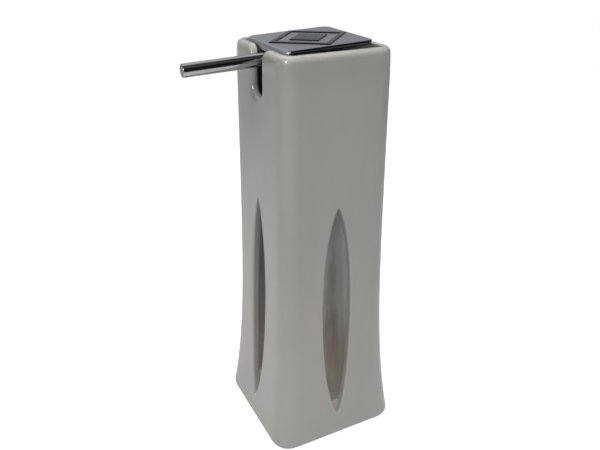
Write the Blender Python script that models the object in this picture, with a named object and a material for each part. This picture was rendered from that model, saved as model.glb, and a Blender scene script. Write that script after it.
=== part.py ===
"""Press-pump soap dispenser in a flared ceramic sleeve.

Lengths are in metres. The origin is the centre of the sleeve's flat underside, +Z is up,
and the spout points along -Y. The pump is drawn at rest, with its head up.
"""
import math

import bmesh
import bpy
from mathutils import Matrix

# Clearances
SEAT = 0.0003
SLIDE_FIT = 0.0003
RUN_FIT = 0.0001
OVERRUN = 0.004
MERGE = 0.00001

# Sleeve
SLEEVE_HEIGHT = 0.240
SLEEVE_TOP_WIDTH = 0.065
SLEEVE_BASE_WIDTH = 0.085
SLEEVE_LEAN = 0.0033
SLEEVE_WALL = 0.0045
SLEEVE_FLOOR = 0.005
SLEEVE_TOP_CORNER = 0.0082
SLEEVE_BASE_CORNER = 0.0123
FOOT_RADIUS = 0.003
CAVITY_RADIUS = 0.004
RIM_OUTER_RADIUS = 0.0029
RIM_INNER_RADIUS = 0.0013

# Windows
WINDOW_WIDTH = 0.021
WINDOW_BOTTOM = 0.014
WINDOW_WIDEST = 0.092
WINDOW_TOP = 0.1575
WINDOW_EDGE_RADIUS = 0.0013
WINDOW_INNER_RADIUS = 0.0009

# Slot
SLOT_SIDE_CLEARANCE = 0.0025
SLOT_FOOT_CLEARANCE = 0.0028
SLOT_MOUTH_RADIUS = 0.0042
SLOT_EDGE_RADIUS = 0.0017

# Bottle
BOTTLE_WIDTH = 0.042
BOTTLE_CORNER = 0.007
BOTTLE_WALL = 0.0014
BOTTLE_FOOT_RADIUS = 0.003
BOTTLE_PUSH_UP = 0.0012
PUSH_UP_WIDTH = 0.027
SHOULDER_HEIGHT = 0.0165
NECK_DIAMETER = 0.0272
NECK_HEIGHT = 0.0175
NECK_BORE = 0.0218
NECK_BEAD_DIAMETER = 0.0295
NECK_BEAD_HEIGHT = 0.0016

# Collar
COLLAR_DIAMETER = 0.0330
COLLAR_SKIRT = 0.0150
COLLAR_WEB = 0.0016
COLLAR_HOLE = 0.0184
COLLAR_EDGE = 0.0008
COLLAR_RIB_DEPTH = 0.0005
COLLAR_RIBS = 30

# Pump housing
GASKET_THICKNESS = 0.0013
GASKET_BORE = 0.0175
FLANGE_DIAMETER = 0.0262
FLANGE_THICKNESS = 0.0013
CYLINDER_DIAMETER = 0.0166
CYLINDER_BORE = 0.0140
CYLINDER_DEPTH = 0.0560
BALL_CHAMBER_DIAMETER = 0.0074
BALL_CHAMBER_HEIGHT = 0.0064
BALL_SEAT_BORE = 0.0030
BALL_SEAT_HEIGHT = 0.0020
SOCKET_WALL = 0.0013
SOCKET_DEPTH = 0.0120
VALVE_WALL = 0.0018

# Cylinder cap
CAP_FLANGE_DIAMETER = 0.0224
CAP_FLANGE_THICKNESS = 0.0014
CAP_DEPTH = 0.0100

# Stem
STEM_DIAMETER = 0.0070
STEM_BORE = 0.0024
STEM_POCKET_BORE = 0.0052
STEM_POCKET_DEPTH = 0.0052
STEM_SOCKET_BORE = 0.0044
STEM_SOCKET_DEPTH = 0.0130
STEM_SHOULDER_DIAMETER = 0.0100
STEM_SHOULDER_HEIGHT = 0.0015
STEM_EXPOSED = 0.0204
PRESS_STROKE = 0.0140
PRESS_MARGIN = 0.0007

# Piston and plunger
PISTON_HEIGHT = 0.0075
PISTON_WAIST = 0.0105
PISTON_LIP = 0.0014
PLUNGER_HEAD_DIAMETER = 0.0112
PLUNGER_HEAD_HEIGHT = 0.0024
PLUNGER_SHANK_LENGTH = 0.0110
PLUNGER_RIB = 0.0011
PLUNGER_PILOT_DIAMETER = 0.0074
PLUNGER_PILOT_HEIGHT = 0.0030

# Spring
SPRING_WIRE = 0.0010
SPRING_DIAMETER = 0.0104
SPRING_TURNS = 8
SPRING_POINTS_PER_TURN = 9

# Check balls
INLET_BALL_DIAMETER = 0.0046
OUTLET_BALL_DIAMETER = 0.0038
RETAINER_THICKNESS = 0.0015
RETAINER_PORT_LENGTH = 0.0086
RETAINER_PORT_WIDTH = 0.0022

# Dip tube
DIP_TUBE_DIAMETER = 0.0052
DIP_TUBE_BORE = 0.0036
DIP_TUBE_FOOT_GAP = 0.0040
DIP_TUBE_SLANT_SHARE = 0.6

# Head
HEAD_TILT = math.radians(2.0)
SPOUT_BELOW_RIM = 0.0062
SPOUT_ABOVE_STEM = 0.0048
SPOUT_DIAMETER = 0.0070
SPOUT_BORE = 0.0046
SPOUT_REACH = 0.0718
SPOUT_INNER_END = 0.0018
SPOUT_OUTLET_DIAMETER = 0.0030
SPOUT_OUTLET_INSET = 0.0060
PLUG_CAP = 0.0014
PLUG_SPIGOT = 0.0030
PLUG_EDGE = 0.0004

# Hub
HUB_DIAMETER = 0.0200
HUB_ROOF = 0.0029
HUB_STEM_BOSS = 0.0126
HUB_SNOUT_DIAMETER = 0.0116
HUB_SNOUT_REACH = 0.0165
HUB_CHAMBER = 0.0020
HUB_PASSAGE = 0.0026
HUB_FLANGE_LENGTH = 0.0330
HUB_FLANGE_WIDTH = 0.0090
HUB_FLANGE_THICKNESS = 0.0020
RING_WIRE = 0.0011
RING_INSET = 0.0030

# Plate
PLATE_MOUTH_GAP = 0.00275
PLATE_THICKNESS = 0.0018
PLATE_CORNER = 0.0045
PLATE_EDGE = 0.0005
PLATE_FORWARD = 0.0014
RELIEF_HEIGHT = 0.0006
RELIEF_BAND = 0.0030
RELIEF_FRAME_SHARE = 0.92
RELIEF_CENTRE_SHARE = 0.455
SCREW_SPACING = 0.0260
SCREW_DIAMETER = 0.0024
SCREW_HEAD_DIAMETER = 0.0044
SCREW_HEAD_HEIGHT = 0.0014
PLATE_BOSS_DIAMETER = 0.0050
LUG_TOP_WIDTH = 0.0116
LUG_FOOT_WIDTH = 0.0084
LUG_DEPTH = 0.0070

# Shape shares and counts
FLARE_POWER = 5
LEAF_POWER = 2.2
LEAF_TIP_POWER = 0.77
LEAF_STEPS = 10
ROW_COUNT = 15
ROW_SPREAD_POWER = 1.35
CORNER_STEPS = 5
ROUND_SIDES = 26
SMALL_SIDES = 16
EDGE_STEPS = 3
SHARP_ANGLE = math.radians(32)

# Slot and plate, fitted to the spout, its travel and the sleeve's mouth
SLOT_WIDTH = SPOUT_DIAMETER + 2 * SLOT_SIDE_CLEARANCE
SLOT_DEPTH = SPOUT_BELOW_RIM + SPOUT_DIAMETER / 2 + PRESS_STROKE + SLOT_FOOT_CLEARANCE
PLATE_WIDTH = SLEEVE_TOP_WIDTH - 2 * SLEEVE_WALL - 2 * PLATE_MOUTH_GAP

# Levels, worked down from the sleeve's rim
SPOUT_LEVEL = SLEEVE_HEIGHT - SPOUT_BELOW_RIM
STEM_TOP = SPOUT_LEVEL - SPOUT_ABOVE_STEM
CAP_TOP = STEM_TOP - STEM_EXPOSED
CAP_BASE = CAP_TOP - CAP_FLANGE_THICKNESS
CYLINDER_TOP = CAP_BASE - SEAT
WEB_BASE = CYLINDER_TOP - COLLAR_WEB
FLANGE_BASE = WEB_BASE - SEAT - FLANGE_THICKNESS
GASKET_BASE = FLANGE_BASE - SEAT - GASKET_THICKNESS
NECK_TOP = GASKET_BASE - SEAT
BOTTLE_BASE = SLEEVE_FLOOR + SEAT
CAP_FOOT = CYLINDER_TOP - CAP_DEPTH
STEM_SHOULDER_TOP = CAP_FOOT - SEAT
PISTON_TOP = STEM_SHOULDER_TOP - STEM_SHOULDER_HEIGHT - SEAT
PISTON_BASE = PISTON_TOP - PISTON_HEIGHT
PLUNGER_HEAD_TOP = PISTON_BASE - SEAT
STEM_BASE = PLUNGER_HEAD_TOP + SEAT
PLUNGER_HEAD_BASE = PLUNGER_HEAD_TOP - PLUNGER_HEAD_HEIGHT
BORE_FLOOR = FLANGE_BASE - CYLINDER_DEPTH
RETAINER_TOP = BORE_FLOOR + SEAT + RETAINER_THICKNESS
CHAMBER_FLOOR = BORE_FLOOR - BALL_CHAMBER_HEIGHT
SOCKET_TOP = CHAMBER_FLOOR - BALL_SEAT_HEIGHT
SOCKET_BASE = SOCKET_TOP - SOCKET_DEPTH
DIP_TUBE_TOP = SOCKET_TOP - SEAT
DIP_TUBE_BASE = BOTTLE_BASE + BOTTLE_WALL + BOTTLE_PUSH_UP + DIP_TUBE_FOOT_GAP
HUB_BOSS_BASE = CAP_TOP + PRESS_STROKE + PRESS_MARGIN

# Levels above the spout's axis, in the head's own tilted frame
FLANGE_TOP = SPOUT_DIAMETER / 2
HEAD_TOP = FLANGE_TOP + HUB_ROOF
PLATE_BASE = HEAD_TOP + SEAT
SCREW_LENGTH = PLATE_BASE - FLANGE_TOP + HUB_FLANGE_THICKNESS

HEAD = Matrix.Translation((0, 0, SPOUT_LEVEL)) @ Matrix.Rotation(HEAD_TILT, 4, "X")


def clear_scene():
    """Start from an empty file."""
    for item in list(bpy.data.objects):
        bpy.data.objects.remove(item, do_unlink=True)


def finish_material(name, colour, roughness, metallic=0.0, transmission=0.0):
    """Plain surface with one colour and gloss."""
    material = bpy.data.materials.new(name)
    material.use_nodes = True
    shader = material.node_tree.nodes["Principled BSDF"]
    shader.inputs["Base Color"].default_value = (*colour, 1.0)
    shader.inputs["Roughness"].default_value = roughness
    shader.inputs["Metallic"].default_value = metallic
    shader.inputs["Transmission Weight"].default_value = transmission
    return material


def place(name, mesh, material, matrix=None):
    """Put a mesh in the scene as a smooth shaded piece with crisp edges."""
    piece = bpy.data.objects.new(name, mesh)
    bpy.context.scene.collection.objects.link(piece)
    if matrix is not None:
        piece.matrix_world = matrix
    if material is not None:
        mesh.materials.clear()
        mesh.materials.append(material)
    mesh.shade_smooth()
    mesh.set_sharp_from_angle(angle=SHARP_ANGLE)
    return piece


def tool(name, mesh, matrix=None):
    """A cutter or a joined shape, which isn't a piece itself."""
    piece = place(name, mesh, None, matrix)
    piece.hide_render = True
    piece.display_type = "WIRE"
    return piece


def combine(piece, other, operation):
    """Live Boolean with a tool."""
    step = piece.modifiers.new(other.name, "BOOLEAN")
    step.operation = operation
    step.solver = "EXACT"
    step.object = other


def cut(piece, *cutters):
    """Take the cutters out of the piece."""
    for cutter in cutters:
        combine(piece, cutter, "DIFFERENCE")


def join(piece, *shapes):
    """Fuse shapes with the piece."""
    for shape in shapes:
        combine(piece, shape, "UNION")


def loft(rings, name, ring_shaped=False):
    """Skin a list of rings with equal counts.

    Rings turn anticlockwise about the direction that the list travels up the outer side.
    A ring-shaped loft comes back to its first ring; any other gets a flat cap on each end.
    """
    shape = bmesh.new()
    rows = [[shape.verts.new(point) for point in ring] for ring in rings]
    pairs = list(zip(rows, rows[1:]))
    if ring_shaped:
        pairs.append((rows[-1], rows[0]))
    for low, high in pairs:
        for index in range(len(low)):
            after = (index + 1) % len(low)
            shape.faces.new((low[index], low[after], high[after], high[index]))
    if not ring_shaped:
        shape.faces.new(list(reversed(rows[0])))
        shape.faces.new(rows[-1])
    bmesh.ops.remove_doubles(shape, verts=shape.verts, dist=MERGE)
    mesh = bpy.data.meshes.new(name)
    shape.to_mesh(mesh)
    shape.free()
    return mesh


def round_ring(radius, level, sides=ROUND_SIDES):
    """Circle about the Z axis."""
    turn = math.tau / sides
    return [(radius * math.cos(turn * n), radius * math.sin(turn * n), level) for n in range(sides)]


def square_ring(half, corner, level, steps=CORNER_STEPS):
    """Rounded square about the Z axis, of a half width and a corner radius."""
    points = []
    for quarter, (side_x, side_y) in enumerate(((1, 1), (-1, 1), (-1, -1), (1, -1))):
        for step in range(steps + 1):
            angle = math.pi / 2 * (quarter + step / steps)
            x = side_x * (half - corner) + corner * math.cos(angle)
            y = side_y * (half - corner) + corner * math.sin(angle)
            points.append((x, y, level))
    return points


def turned(profile, name, ring_shaped=False, sides=ROUND_SIDES):
    """Turn a profile of (radius, level), listed up the outer side and down the inner side."""
    return loft([round_ring(radius, level, sides) for radius, level in profile], name, ring_shaped)


def arc(centre, radius, start, end, steps=EDGE_STEPS):
    """Points of (radius, level) along an arc, with angles in quarter turns from +X."""
    angles = [math.pi / 2 * (start + (end - start) * step / steps) for step in range(steps + 1)]
    return [(centre[0] + radius * math.cos(a), centre[1] + radius * math.sin(a)) for a in angles]


def sleeve_half(level):
    """Half width of the sleeve: a slight lean, and a flare that grows towards the foot."""
    drop = 1 - level / SLEEVE_HEIGHT
    flare = (SLEEVE_BASE_WIDTH - SLEEVE_TOP_WIDTH) / 2 - SLEEVE_LEAN
    return SLEEVE_TOP_WIDTH / 2 + SLEEVE_LEAN * drop + flare * drop ** FLARE_POWER


def sleeve_corner(level):
    """Corner radius of the sleeve, larger at the foot."""
    return SLEEVE_TOP_CORNER + (SLEEVE_BASE_CORNER - SLEEVE_TOP_CORNER) * (1 - level / SLEEVE_HEIGHT)


def wall_levels(low, high):
    """Rows of a wall, closer together where the foot flares."""
    return [low + (high - low) * (n / ROW_COUNT) ** ROW_SPREAD_POWER for n in range(ROW_COUNT + 1)]


def sleeve_mesh():
    """Foot, outer wall, rounded rim, inner wall and floor as one loft of rounded squares."""
    sections = []
    for inset, rise in arc((FOOT_RADIUS, FOOT_RADIUS), FOOT_RADIUS, 3, 2)[:-1]:
        sections.append((inset, rise))
    for level in wall_levels(FOOT_RADIUS, SLEEVE_HEIGHT - RIM_OUTER_RADIUS):
        sections.append((0, level))
    rim_centre = (RIM_OUTER_RADIUS, SLEEVE_HEIGHT - RIM_OUTER_RADIUS)
    sections += arc(rim_centre, RIM_OUTER_RADIUS, 2, 1)[1:]
    rim_centre = (SLEEVE_WALL - RIM_INNER_RADIUS, SLEEVE_HEIGHT - RIM_INNER_RADIUS)
    sections += arc(rim_centre, RIM_INNER_RADIUS, 1, 0)
    cavity_low = SLEEVE_FLOOR + CAVITY_RADIUS
    for level in reversed(wall_levels(cavity_low, SLEEVE_HEIGHT - RIM_INNER_RADIUS)[:-1]):
        sections.append((SLEEVE_WALL, level))
    floor_centre = (SLEEVE_WALL + CAVITY_RADIUS, cavity_low)
    sections += arc(floor_centre, CAVITY_RADIUS, 2, 3)[1:]
    rings = []
    for inset, level in sections:
        corner = max(sleeve_corner(level) - inset, CAVITY_RADIUS / 2)
        rings.append(square_ring(sleeve_half(level) - inset, corner, level))
    return loft(rings, "ceramic_sleeve")


def rounded_edge(radius):
    """Depths below a face, each with the widening that rounds the edge of a hole there."""
    turns = [math.pi / 2 * step / EDGE_STEPS for step in range(EDGE_STEPS)]
    steps = [(radius * (1 - math.sin(turn)), radius * (1 - math.cos(turn))) for turn in turns]
    last, previous = steps[-1], steps[-2]
    beyond = (2 * last[0] - previous[0], 2 * last[1] - previous[1])
    return steps + [beyond, (beyond[0] - OVERRUN, beyond[1] + radius)]


def hole_cutter(outline, outer_radius, inner_radius, name, quarter):
    """Loft an outline of (across, level) through the +X wall, then turn it to its own wall."""
    inner_edge = [(SLEEVE_WALL - depth, widen) for depth, widen in reversed(rounded_edge(inner_radius))]
    rings = []
    for depth, widen in inner_edge + rounded_edge(outer_radius):
        rings.append([(sleeve_half(level) - depth, across, level) for across, level in outline(widen)])
    mesh = loft(rings, name)
    return tool(name, mesh, Matrix.Rotation(math.pi / 2 * quarter, 4, "Z"))


def leaf_outline(widen):
    """Pointed leaf, from its lower tip up one side and down the other."""
    half = WINDOW_WIDTH / 2 - WINDOW_EDGE_RADIUS + widen
    side = []
    for step in range(1, 2 * LEAF_STEPS):
        share = math.sin(math.pi / 2 * (step / LEAF_STEPS - 1))
        reach = WINDOW_TOP - WINDOW_WIDEST if share > 0 else WINDOW_WIDEST - WINDOW_BOTTOM
        reach += widen - WINDOW_EDGE_RADIUS
        across = half * (1 - abs(share) ** LEAF_POWER) ** LEAF_TIP_POWER
        side.append((across, WINDOW_WIDEST + share * reach))
    low = (0, WINDOW_BOTTOM + WINDOW_EDGE_RADIUS - widen)
    high = (0, WINDOW_TOP - WINDOW_EDGE_RADIUS + widen)
    return [low] + side + [high] + [(-across, level) for across, level in reversed(side)]


def slot_outline(widen):
    """Round-bottomed slot that opens at the rim with rounded lips."""
    half = SLOT_WIDTH / 2 + widen
    round_level = SLEEVE_HEIGHT - SLOT_DEPTH + SLOT_WIDTH / 2
    foot = arc((0, round_level), half, 3, 4, 2 * EDGE_STEPS)
    lip_centre = (SLOT_WIDTH / 2 + SLOT_MOUTH_RADIUS, SLEEVE_HEIGHT - SLOT_MOUTH_RADIUS)
    lip = arc(lip_centre, SLOT_MOUTH_RADIUS - widen, 2, 1, 2 * EDGE_STEPS)
    top = (lip_centre[0], SLEEVE_HEIGHT + OVERRUN)
    side = foot[1:] + lip + [top]
    return [foot[0]] + side + [(-across, level) for across, level in reversed(side)]


def ceramic_sleeve(material):
    """Sleeve with a leaf window in each face and the spout slot in the front rim."""
    sleeve = place("ceramic_sleeve", sleeve_mesh(), material)
    for quarter in range(4):
        cutter = hole_cutter(leaf_outline, WINDOW_EDGE_RADIUS, WINDOW_INNER_RADIUS,
                             f"window_cutter_{quarter}", quarter)
        cut(sleeve, cutter)
    cut(sleeve, hole_cutter(slot_outline, SLOT_EDGE_RADIUS, WINDOW_INNER_RADIUS, "slot_cutter", 3))
    return sleeve


def bottle_shell(inset):
    """Sections of the bottle as (half width, corner radius, level), from the foot to the neck."""
    half = BOTTLE_WIDTH / 2 - inset
    corner = BOTTLE_CORNER - inset
    foot = BOTTLE_BASE + inset
    shoulder = NECK_TOP - NECK_HEIGHT - SHOULDER_HEIGHT - inset
    neck = NECK_DIAMETER / 2 if inset == 0 else NECK_BORE / 2
    push = PUSH_UP_WIDTH / 2
    crown = push - BOTTLE_PUSH_UP
    sections = [(crown, crown, foot + BOTTLE_PUSH_UP), (push, push, foot)]
    foot_radius = BOTTLE_FOOT_RADIUS - inset / 2
    for out, rise in arc((-foot_radius, foot_radius), foot_radius, 3, 4):
        sections.append((half + out, corner + out / 2, foot + rise))
    for step in range(2 * EDGE_STEPS + 1):
        share = step / (2 * EDGE_STEPS)
        width = neck + (half - neck) * math.cos(math.pi / 2 * share)
        roundness = corner + (width - corner) * share ** 2
        sections.append((width, roundness, shoulder + SHOULDER_HEIGHT * math.sin(math.pi / 2 * share)))
    return sections, neck


def bottle(material):
    """Clear square bottle with rounded shoulders, an open neck and a pushed-up base."""
    outer, neck = bottle_shell(0)
    inner, bore = bottle_shell(BOTTLE_WALL)
    bead = NECK_BEAD_DIAMETER / 2
    low = NECK_TOP - NECK_HEIGHT + NECK_BEAD_HEIGHT
    high = low + NECK_BEAD_HEIGHT
    outer += [(neck, neck, low), (bead, bead, low + NECK_BEAD_HEIGHT / 4), (bead, bead, high)]
    outer += [(neck, neck, high), (neck, neck, NECK_TOP)]
    inner.append((bore, bore, NECK_TOP))
    rings = [square_ring(*section) for section in outer + list(reversed(inner))]
    return place("bottle", loft(rings, "bottle"), material)


def screw_collar(material):
    """Ribbed collar with a web that the pump's cap traps."""
    outer = COLLAR_DIAMETER / 2
    inner = NECK_DIAMETER / 2 + SLIDE_FIT
    low = WEB_BASE - COLLAR_SKIRT
    top = WEB_BASE + COLLAR_WEB
    edge = COLLAR_EDGE
    rings = []
    for radius, level, rib in ((outer, low, 1), (outer, top - 2 * edge, 1), (outer - edge, top, 0)):
        ring = []
        for index, (x, y, z) in enumerate(round_ring(radius, level, 2 * COLLAR_RIBS)):
            scale = 1 - rib * (index % 2) * COLLAR_RIB_DEPTH / radius
            ring.append((x * scale, y * scale, z))
        rings.append(ring)
    hole = COLLAR_HOLE / 2
    for radius, level in ((hole, top), (hole, WEB_BASE), (inner, WEB_BASE), (inner, low)):
        rings.append(round_ring(radius, level, 2 * COLLAR_RIBS))
    return place("screw_collar", loft(rings, "screw_collar", ring_shaped=True), material)


def neck_gasket(material):
    """Flat washer on the bottle's neck."""
    outer, inner = FLANGE_DIAMETER / 2, GASKET_BORE / 2
    low, high = GASKET_BASE, GASKET_BASE + GASKET_THICKNESS
    mesh = turned([(outer, low), (outer, high), (inner, high), (inner, low)], "neck_gasket", True)
    return place("neck_gasket", mesh, material)


def pump_cylinder(material):
    """Housing: flange, bore, ball chamber with a conical seat, and dip tube socket."""
    outer = CYLINDER_DIAMETER / 2
    bore = CYLINDER_BORE / 2
    chamber = BALL_CHAMBER_DIAMETER / 2
    seat = BALL_SEAT_BORE / 2
    socket = DIP_TUBE_DIAMETER / 2 + SLIDE_FIT
    flange = FLANGE_DIAMETER / 2
    valve = chamber + VALVE_WALL
    profile = [
        (socket, SOCKET_BASE),
        (socket + SOCKET_WALL, SOCKET_BASE),
        (socket + SOCKET_WALL, SOCKET_TOP - BALL_SEAT_HEIGHT),
        (valve, CHAMBER_FLOOR),
        (valve, BORE_FLOOR - VALVE_WALL),
        (outer, BORE_FLOOR),
        (outer, FLANGE_BASE),
        (flange, FLANGE_BASE),
        (flange, FLANGE_BASE + FLANGE_THICKNESS),
        (outer, FLANGE_BASE + FLANGE_THICKNESS),
        (outer, CYLINDER_TOP),
        (bore, CYLINDER_TOP),
        (bore, BORE_FLOOR),
        (chamber, BORE_FLOOR),
        (chamber, CHAMBER_FLOOR + chamber - seat),
        (seat, CHAMBER_FLOOR),
        (seat, SOCKET_TOP),
        (socket, SOCKET_TOP),
    ]
    return place("pump_cylinder", turned(profile, "pump_cylinder", True), material)


def cylinder_cap(material):
    """Guide bush: a flange over the collar's web and a sleeve down the bore."""
    stem = STEM_DIAMETER / 2 + RUN_FIT
    bore = CYLINDER_BORE / 2 - SLIDE_FIT
    flange = CAP_FLANGE_DIAMETER / 2
    profile = [(stem, CAP_FOOT), (bore, CAP_FOOT), (bore, CAP_BASE), (flange, CAP_BASE),
               (flange, CAP_TOP - COLLAR_EDGE), (flange - COLLAR_EDGE, CAP_TOP), (stem, CAP_TOP)]
    return place("cylinder_cap", turned(profile, "cylinder_cap", True), material)


def stem(material):
    """Hollow stem: plunger socket below, ball pocket with a conical seat on top."""
    outer = STEM_DIAMETER / 2
    bore = STEM_BORE / 2
    pocket = STEM_POCKET_BORE / 2
    socket = STEM_SOCKET_BORE / 2
    shoulder = STEM_SHOULDER_DIAMETER / 2
    shoulder_base = STEM_SHOULDER_TOP - STEM_SHOULDER_HEIGHT
    pocket_floor = STEM_TOP - STEM_POCKET_DEPTH
    socket_top = STEM_BASE + STEM_SOCKET_DEPTH
    profile = [
        (socket, STEM_BASE),
        (outer, STEM_BASE),
        (outer, shoulder_base),
        (shoulder, shoulder_base),
        (shoulder, STEM_SHOULDER_TOP),
        (outer, STEM_SHOULDER_TOP),
        (outer, STEM_TOP),
        (pocket, STEM_TOP),
        (pocket, pocket_floor + pocket - bore),
        (bore, pocket_floor),
        (bore, socket_top),
        (socket, socket_top),
    ]
    return place("stem", turned(profile, "stem", True, SMALL_SIDES), material)


def piston_seal(material):
    """Piston with a waist between its upper and lower lips."""
    lip = CYLINDER_BORE / 2 - RUN_FIT
    waist = PISTON_WAIST / 2
    inner = STEM_DIAMETER / 2 + RUN_FIT
    profile = [
        (inner, PISTON_BASE),
        (lip, PISTON_BASE),
        (lip, PISTON_BASE + PISTON_LIP / 2),
        (waist, PISTON_BASE + PISTON_LIP + PISTON_LIP / 2),
        (waist, PISTON_TOP - PISTON_LIP - PISTON_LIP / 2),
        (lip, PISTON_TOP - PISTON_LIP / 2),
        (lip, PISTON_TOP),
        (inner, PISTON_TOP),
    ]
    return place("piston_seal", turned(profile, "piston_seal", True), material)


def cross_mesh(length, width, low, high, name):
    """Plus-shaped prism about the Z axis."""
    far, near = length / 2, width / 2
    outline = [(far, -near), (far, near), (near, near), (near, far), (-near, far), (-near, near),
               (-far, near), (-far, -near), (-near, -near), (-near, -far), (near, -far), (near, -near)]
    return loft([[(x, y, level) for x, y in outline] for level in (low, high)], name)


def plunger(material):
    """Plug under the stem: a cross-ribbed shank, a head for the spring and a pilot inside it."""
    head = PLUNGER_HEAD_DIAMETER / 2
    pilot = PLUNGER_PILOT_DIAMETER / 2
    pilot_base = PLUNGER_HEAD_BASE - PLUNGER_PILOT_HEIGHT
    profile = [(pilot - PLUNGER_RIB, pilot_base), (pilot, pilot_base + PLUNGER_RIB),
               (pilot, PLUNGER_HEAD_BASE), (head, PLUNGER_HEAD_BASE), (head, PLUNGER_HEAD_TOP)]
    piece = place("plunger", turned(profile, "plunger", False, SMALL_SIDES), material)
    shank = cross_mesh(STEM_SOCKET_BORE - 2 * SLIDE_FIT, PLUNGER_RIB, PLUNGER_HEAD_BASE + PLUNGER_RIB,
                       PLUNGER_HEAD_TOP + PLUNGER_SHANK_LENGTH, "plunger_shank")
    join(piece, tool("plunger_shank", shank))
    return piece


def return_spring(material):
    """Compression spring between the retainer and the plunger's head, as one unbroken tube."""
    low = RETAINER_TOP + SEAT + SPRING_WIRE / 2
    high = PLUNGER_HEAD_BASE - SEAT - SPRING_WIRE / 2
    radius = (SPRING_DIAMETER - SPRING_WIRE) / 2
    count = SPRING_TURNS * SPRING_POINTS_PER_TURN
    curve = bpy.data.curves.new("return_spring", "CURVE")
    curve.dimensions = "3D"
    curve.bevel_depth = SPRING_WIRE / 2
    curve.bevel_resolution = 1
    curve.use_fill_caps = True
    path = curve.splines.new("POLY")
    path.points.add(count)
    for index, point in enumerate(path.points):
        angle = math.tau * index / SPRING_POINTS_PER_TURN
        level = low + (high - low) * index / count
        point.co = (radius * math.cos(angle), radius * math.sin(angle), level, 1)
    curve.materials.append(material)
    piece = bpy.data.objects.new("return_spring", curve)
    bpy.context.scene.collection.objects.link(piece)
    print("least gap between turns, m:", round((high - low) / SPRING_TURNS - SPRING_WIRE, 5))
    return piece


def ball_mesh(diameter, level, name):
    """Sphere about the Z axis."""
    radius = diameter / 2
    steps = SMALL_SIDES // 2
    profile = [(radius * math.sin(math.pi * n / steps), level - radius * math.cos(math.pi * n / steps))
               for n in range(steps + 1)]
    return turned(profile, name, False, SMALL_SIDES)


def seated_ball_level(diameter, bore, floor):
    """Height of a ball's centre on a 45 degree seat that opens from a bore."""
    return floor - bore / 2 + (diameter / 2 + SEAT) * math.sqrt(2)


def inlet_ball(material):
    """Ball on the seat of the housing's chamber."""
    level = seated_ball_level(INLET_BALL_DIAMETER, BALL_SEAT_BORE, CHAMBER_FLOOR)
    return place("inlet_ball", ball_mesh(INLET_BALL_DIAMETER, level, "inlet_ball"), material)


def outlet_ball(material):
    """Ball on the seat in the stem's top."""
    level = seated_ball_level(OUTLET_BALL_DIAMETER, STEM_BORE, STEM_TOP - STEM_POCKET_DEPTH)
    return place("outlet_ball", ball_mesh(OUTLET_BALL_DIAMETER, level, "outlet_ball"), material)


def ball_retainer(material):
    """Spring seat with a cross-shaped port over the inlet ball."""
    radius = CYLINDER_BORE / 2 - SLIDE_FIT
    low = BORE_FLOOR + SEAT
    mesh = turned([(radius, low), (radius, RETAINER_TOP)], "ball_retainer")
    piece = place("ball_retainer", mesh, material)
    port = cross_mesh(RETAINER_PORT_LENGTH, RETAINER_PORT_WIDTH, low - OVERRUN,
                      RETAINER_TOP + OVERRUN, "port_cutter")
    cut(piece, tool("port_cutter", port))
    return piece


def dip_tube(material):
    """Straight tube with a slanted foot."""
    outer, inner = DIP_TUBE_DIAMETER / 2, DIP_TUBE_BORE / 2

    def slanted(radius):
        ring = round_ring(radius, DIP_TUBE_BASE, SMALL_SIDES)
        return [(x, y, z + (outer + x) * DIP_TUBE_SLANT_SHARE) for x, y, z in ring]

    rings = [slanted(outer), round_ring(outer, DIP_TUBE_TOP, SMALL_SIDES),
             round_ring(inner, DIP_TUBE_TOP, SMALL_SIDES), slanted(inner)]
    return place("dip_tube", loft(rings, "dip_tube", ring_shaped=True), material)


def spout_frame():
    """Head frame turned so that its +Z runs out along the spout."""
    return HEAD @ Matrix.Rotation(math.pi / 2, 4, "X")


def rod(diameter, start, end, name, matrix=None, sides=ROUND_SIDES):
    """Plain cylinder along Z as a tool."""
    mesh = turned([(diameter / 2, start), (diameter / 2, end)], name, False, sides)
    return tool(name, mesh, matrix)


def screw_spots():
    """Frames of the two plate screws, level with the spout's axis."""
    return [HEAD @ Matrix.Translation((side * SCREW_SPACING / 2, 0, 0)) for side in (-1, 1)]


def ear_mesh():
    """Long flange with round ends under the plate."""
    half_x, half_y = HUB_FLANGE_LENGTH / 2, HUB_FLANGE_WIDTH / 2
    rings = []
    for level in (FLANGE_TOP - HUB_FLANGE_THICKNESS, FLANGE_TOP):
        ring = square_ring(half_y, half_y - SLIDE_FIT, level)
        rings.append([(x + math.copysign(half_x - half_y, x), y, z) for x, y, z in ring])
    return loft(rings, "hub_ears")


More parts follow.
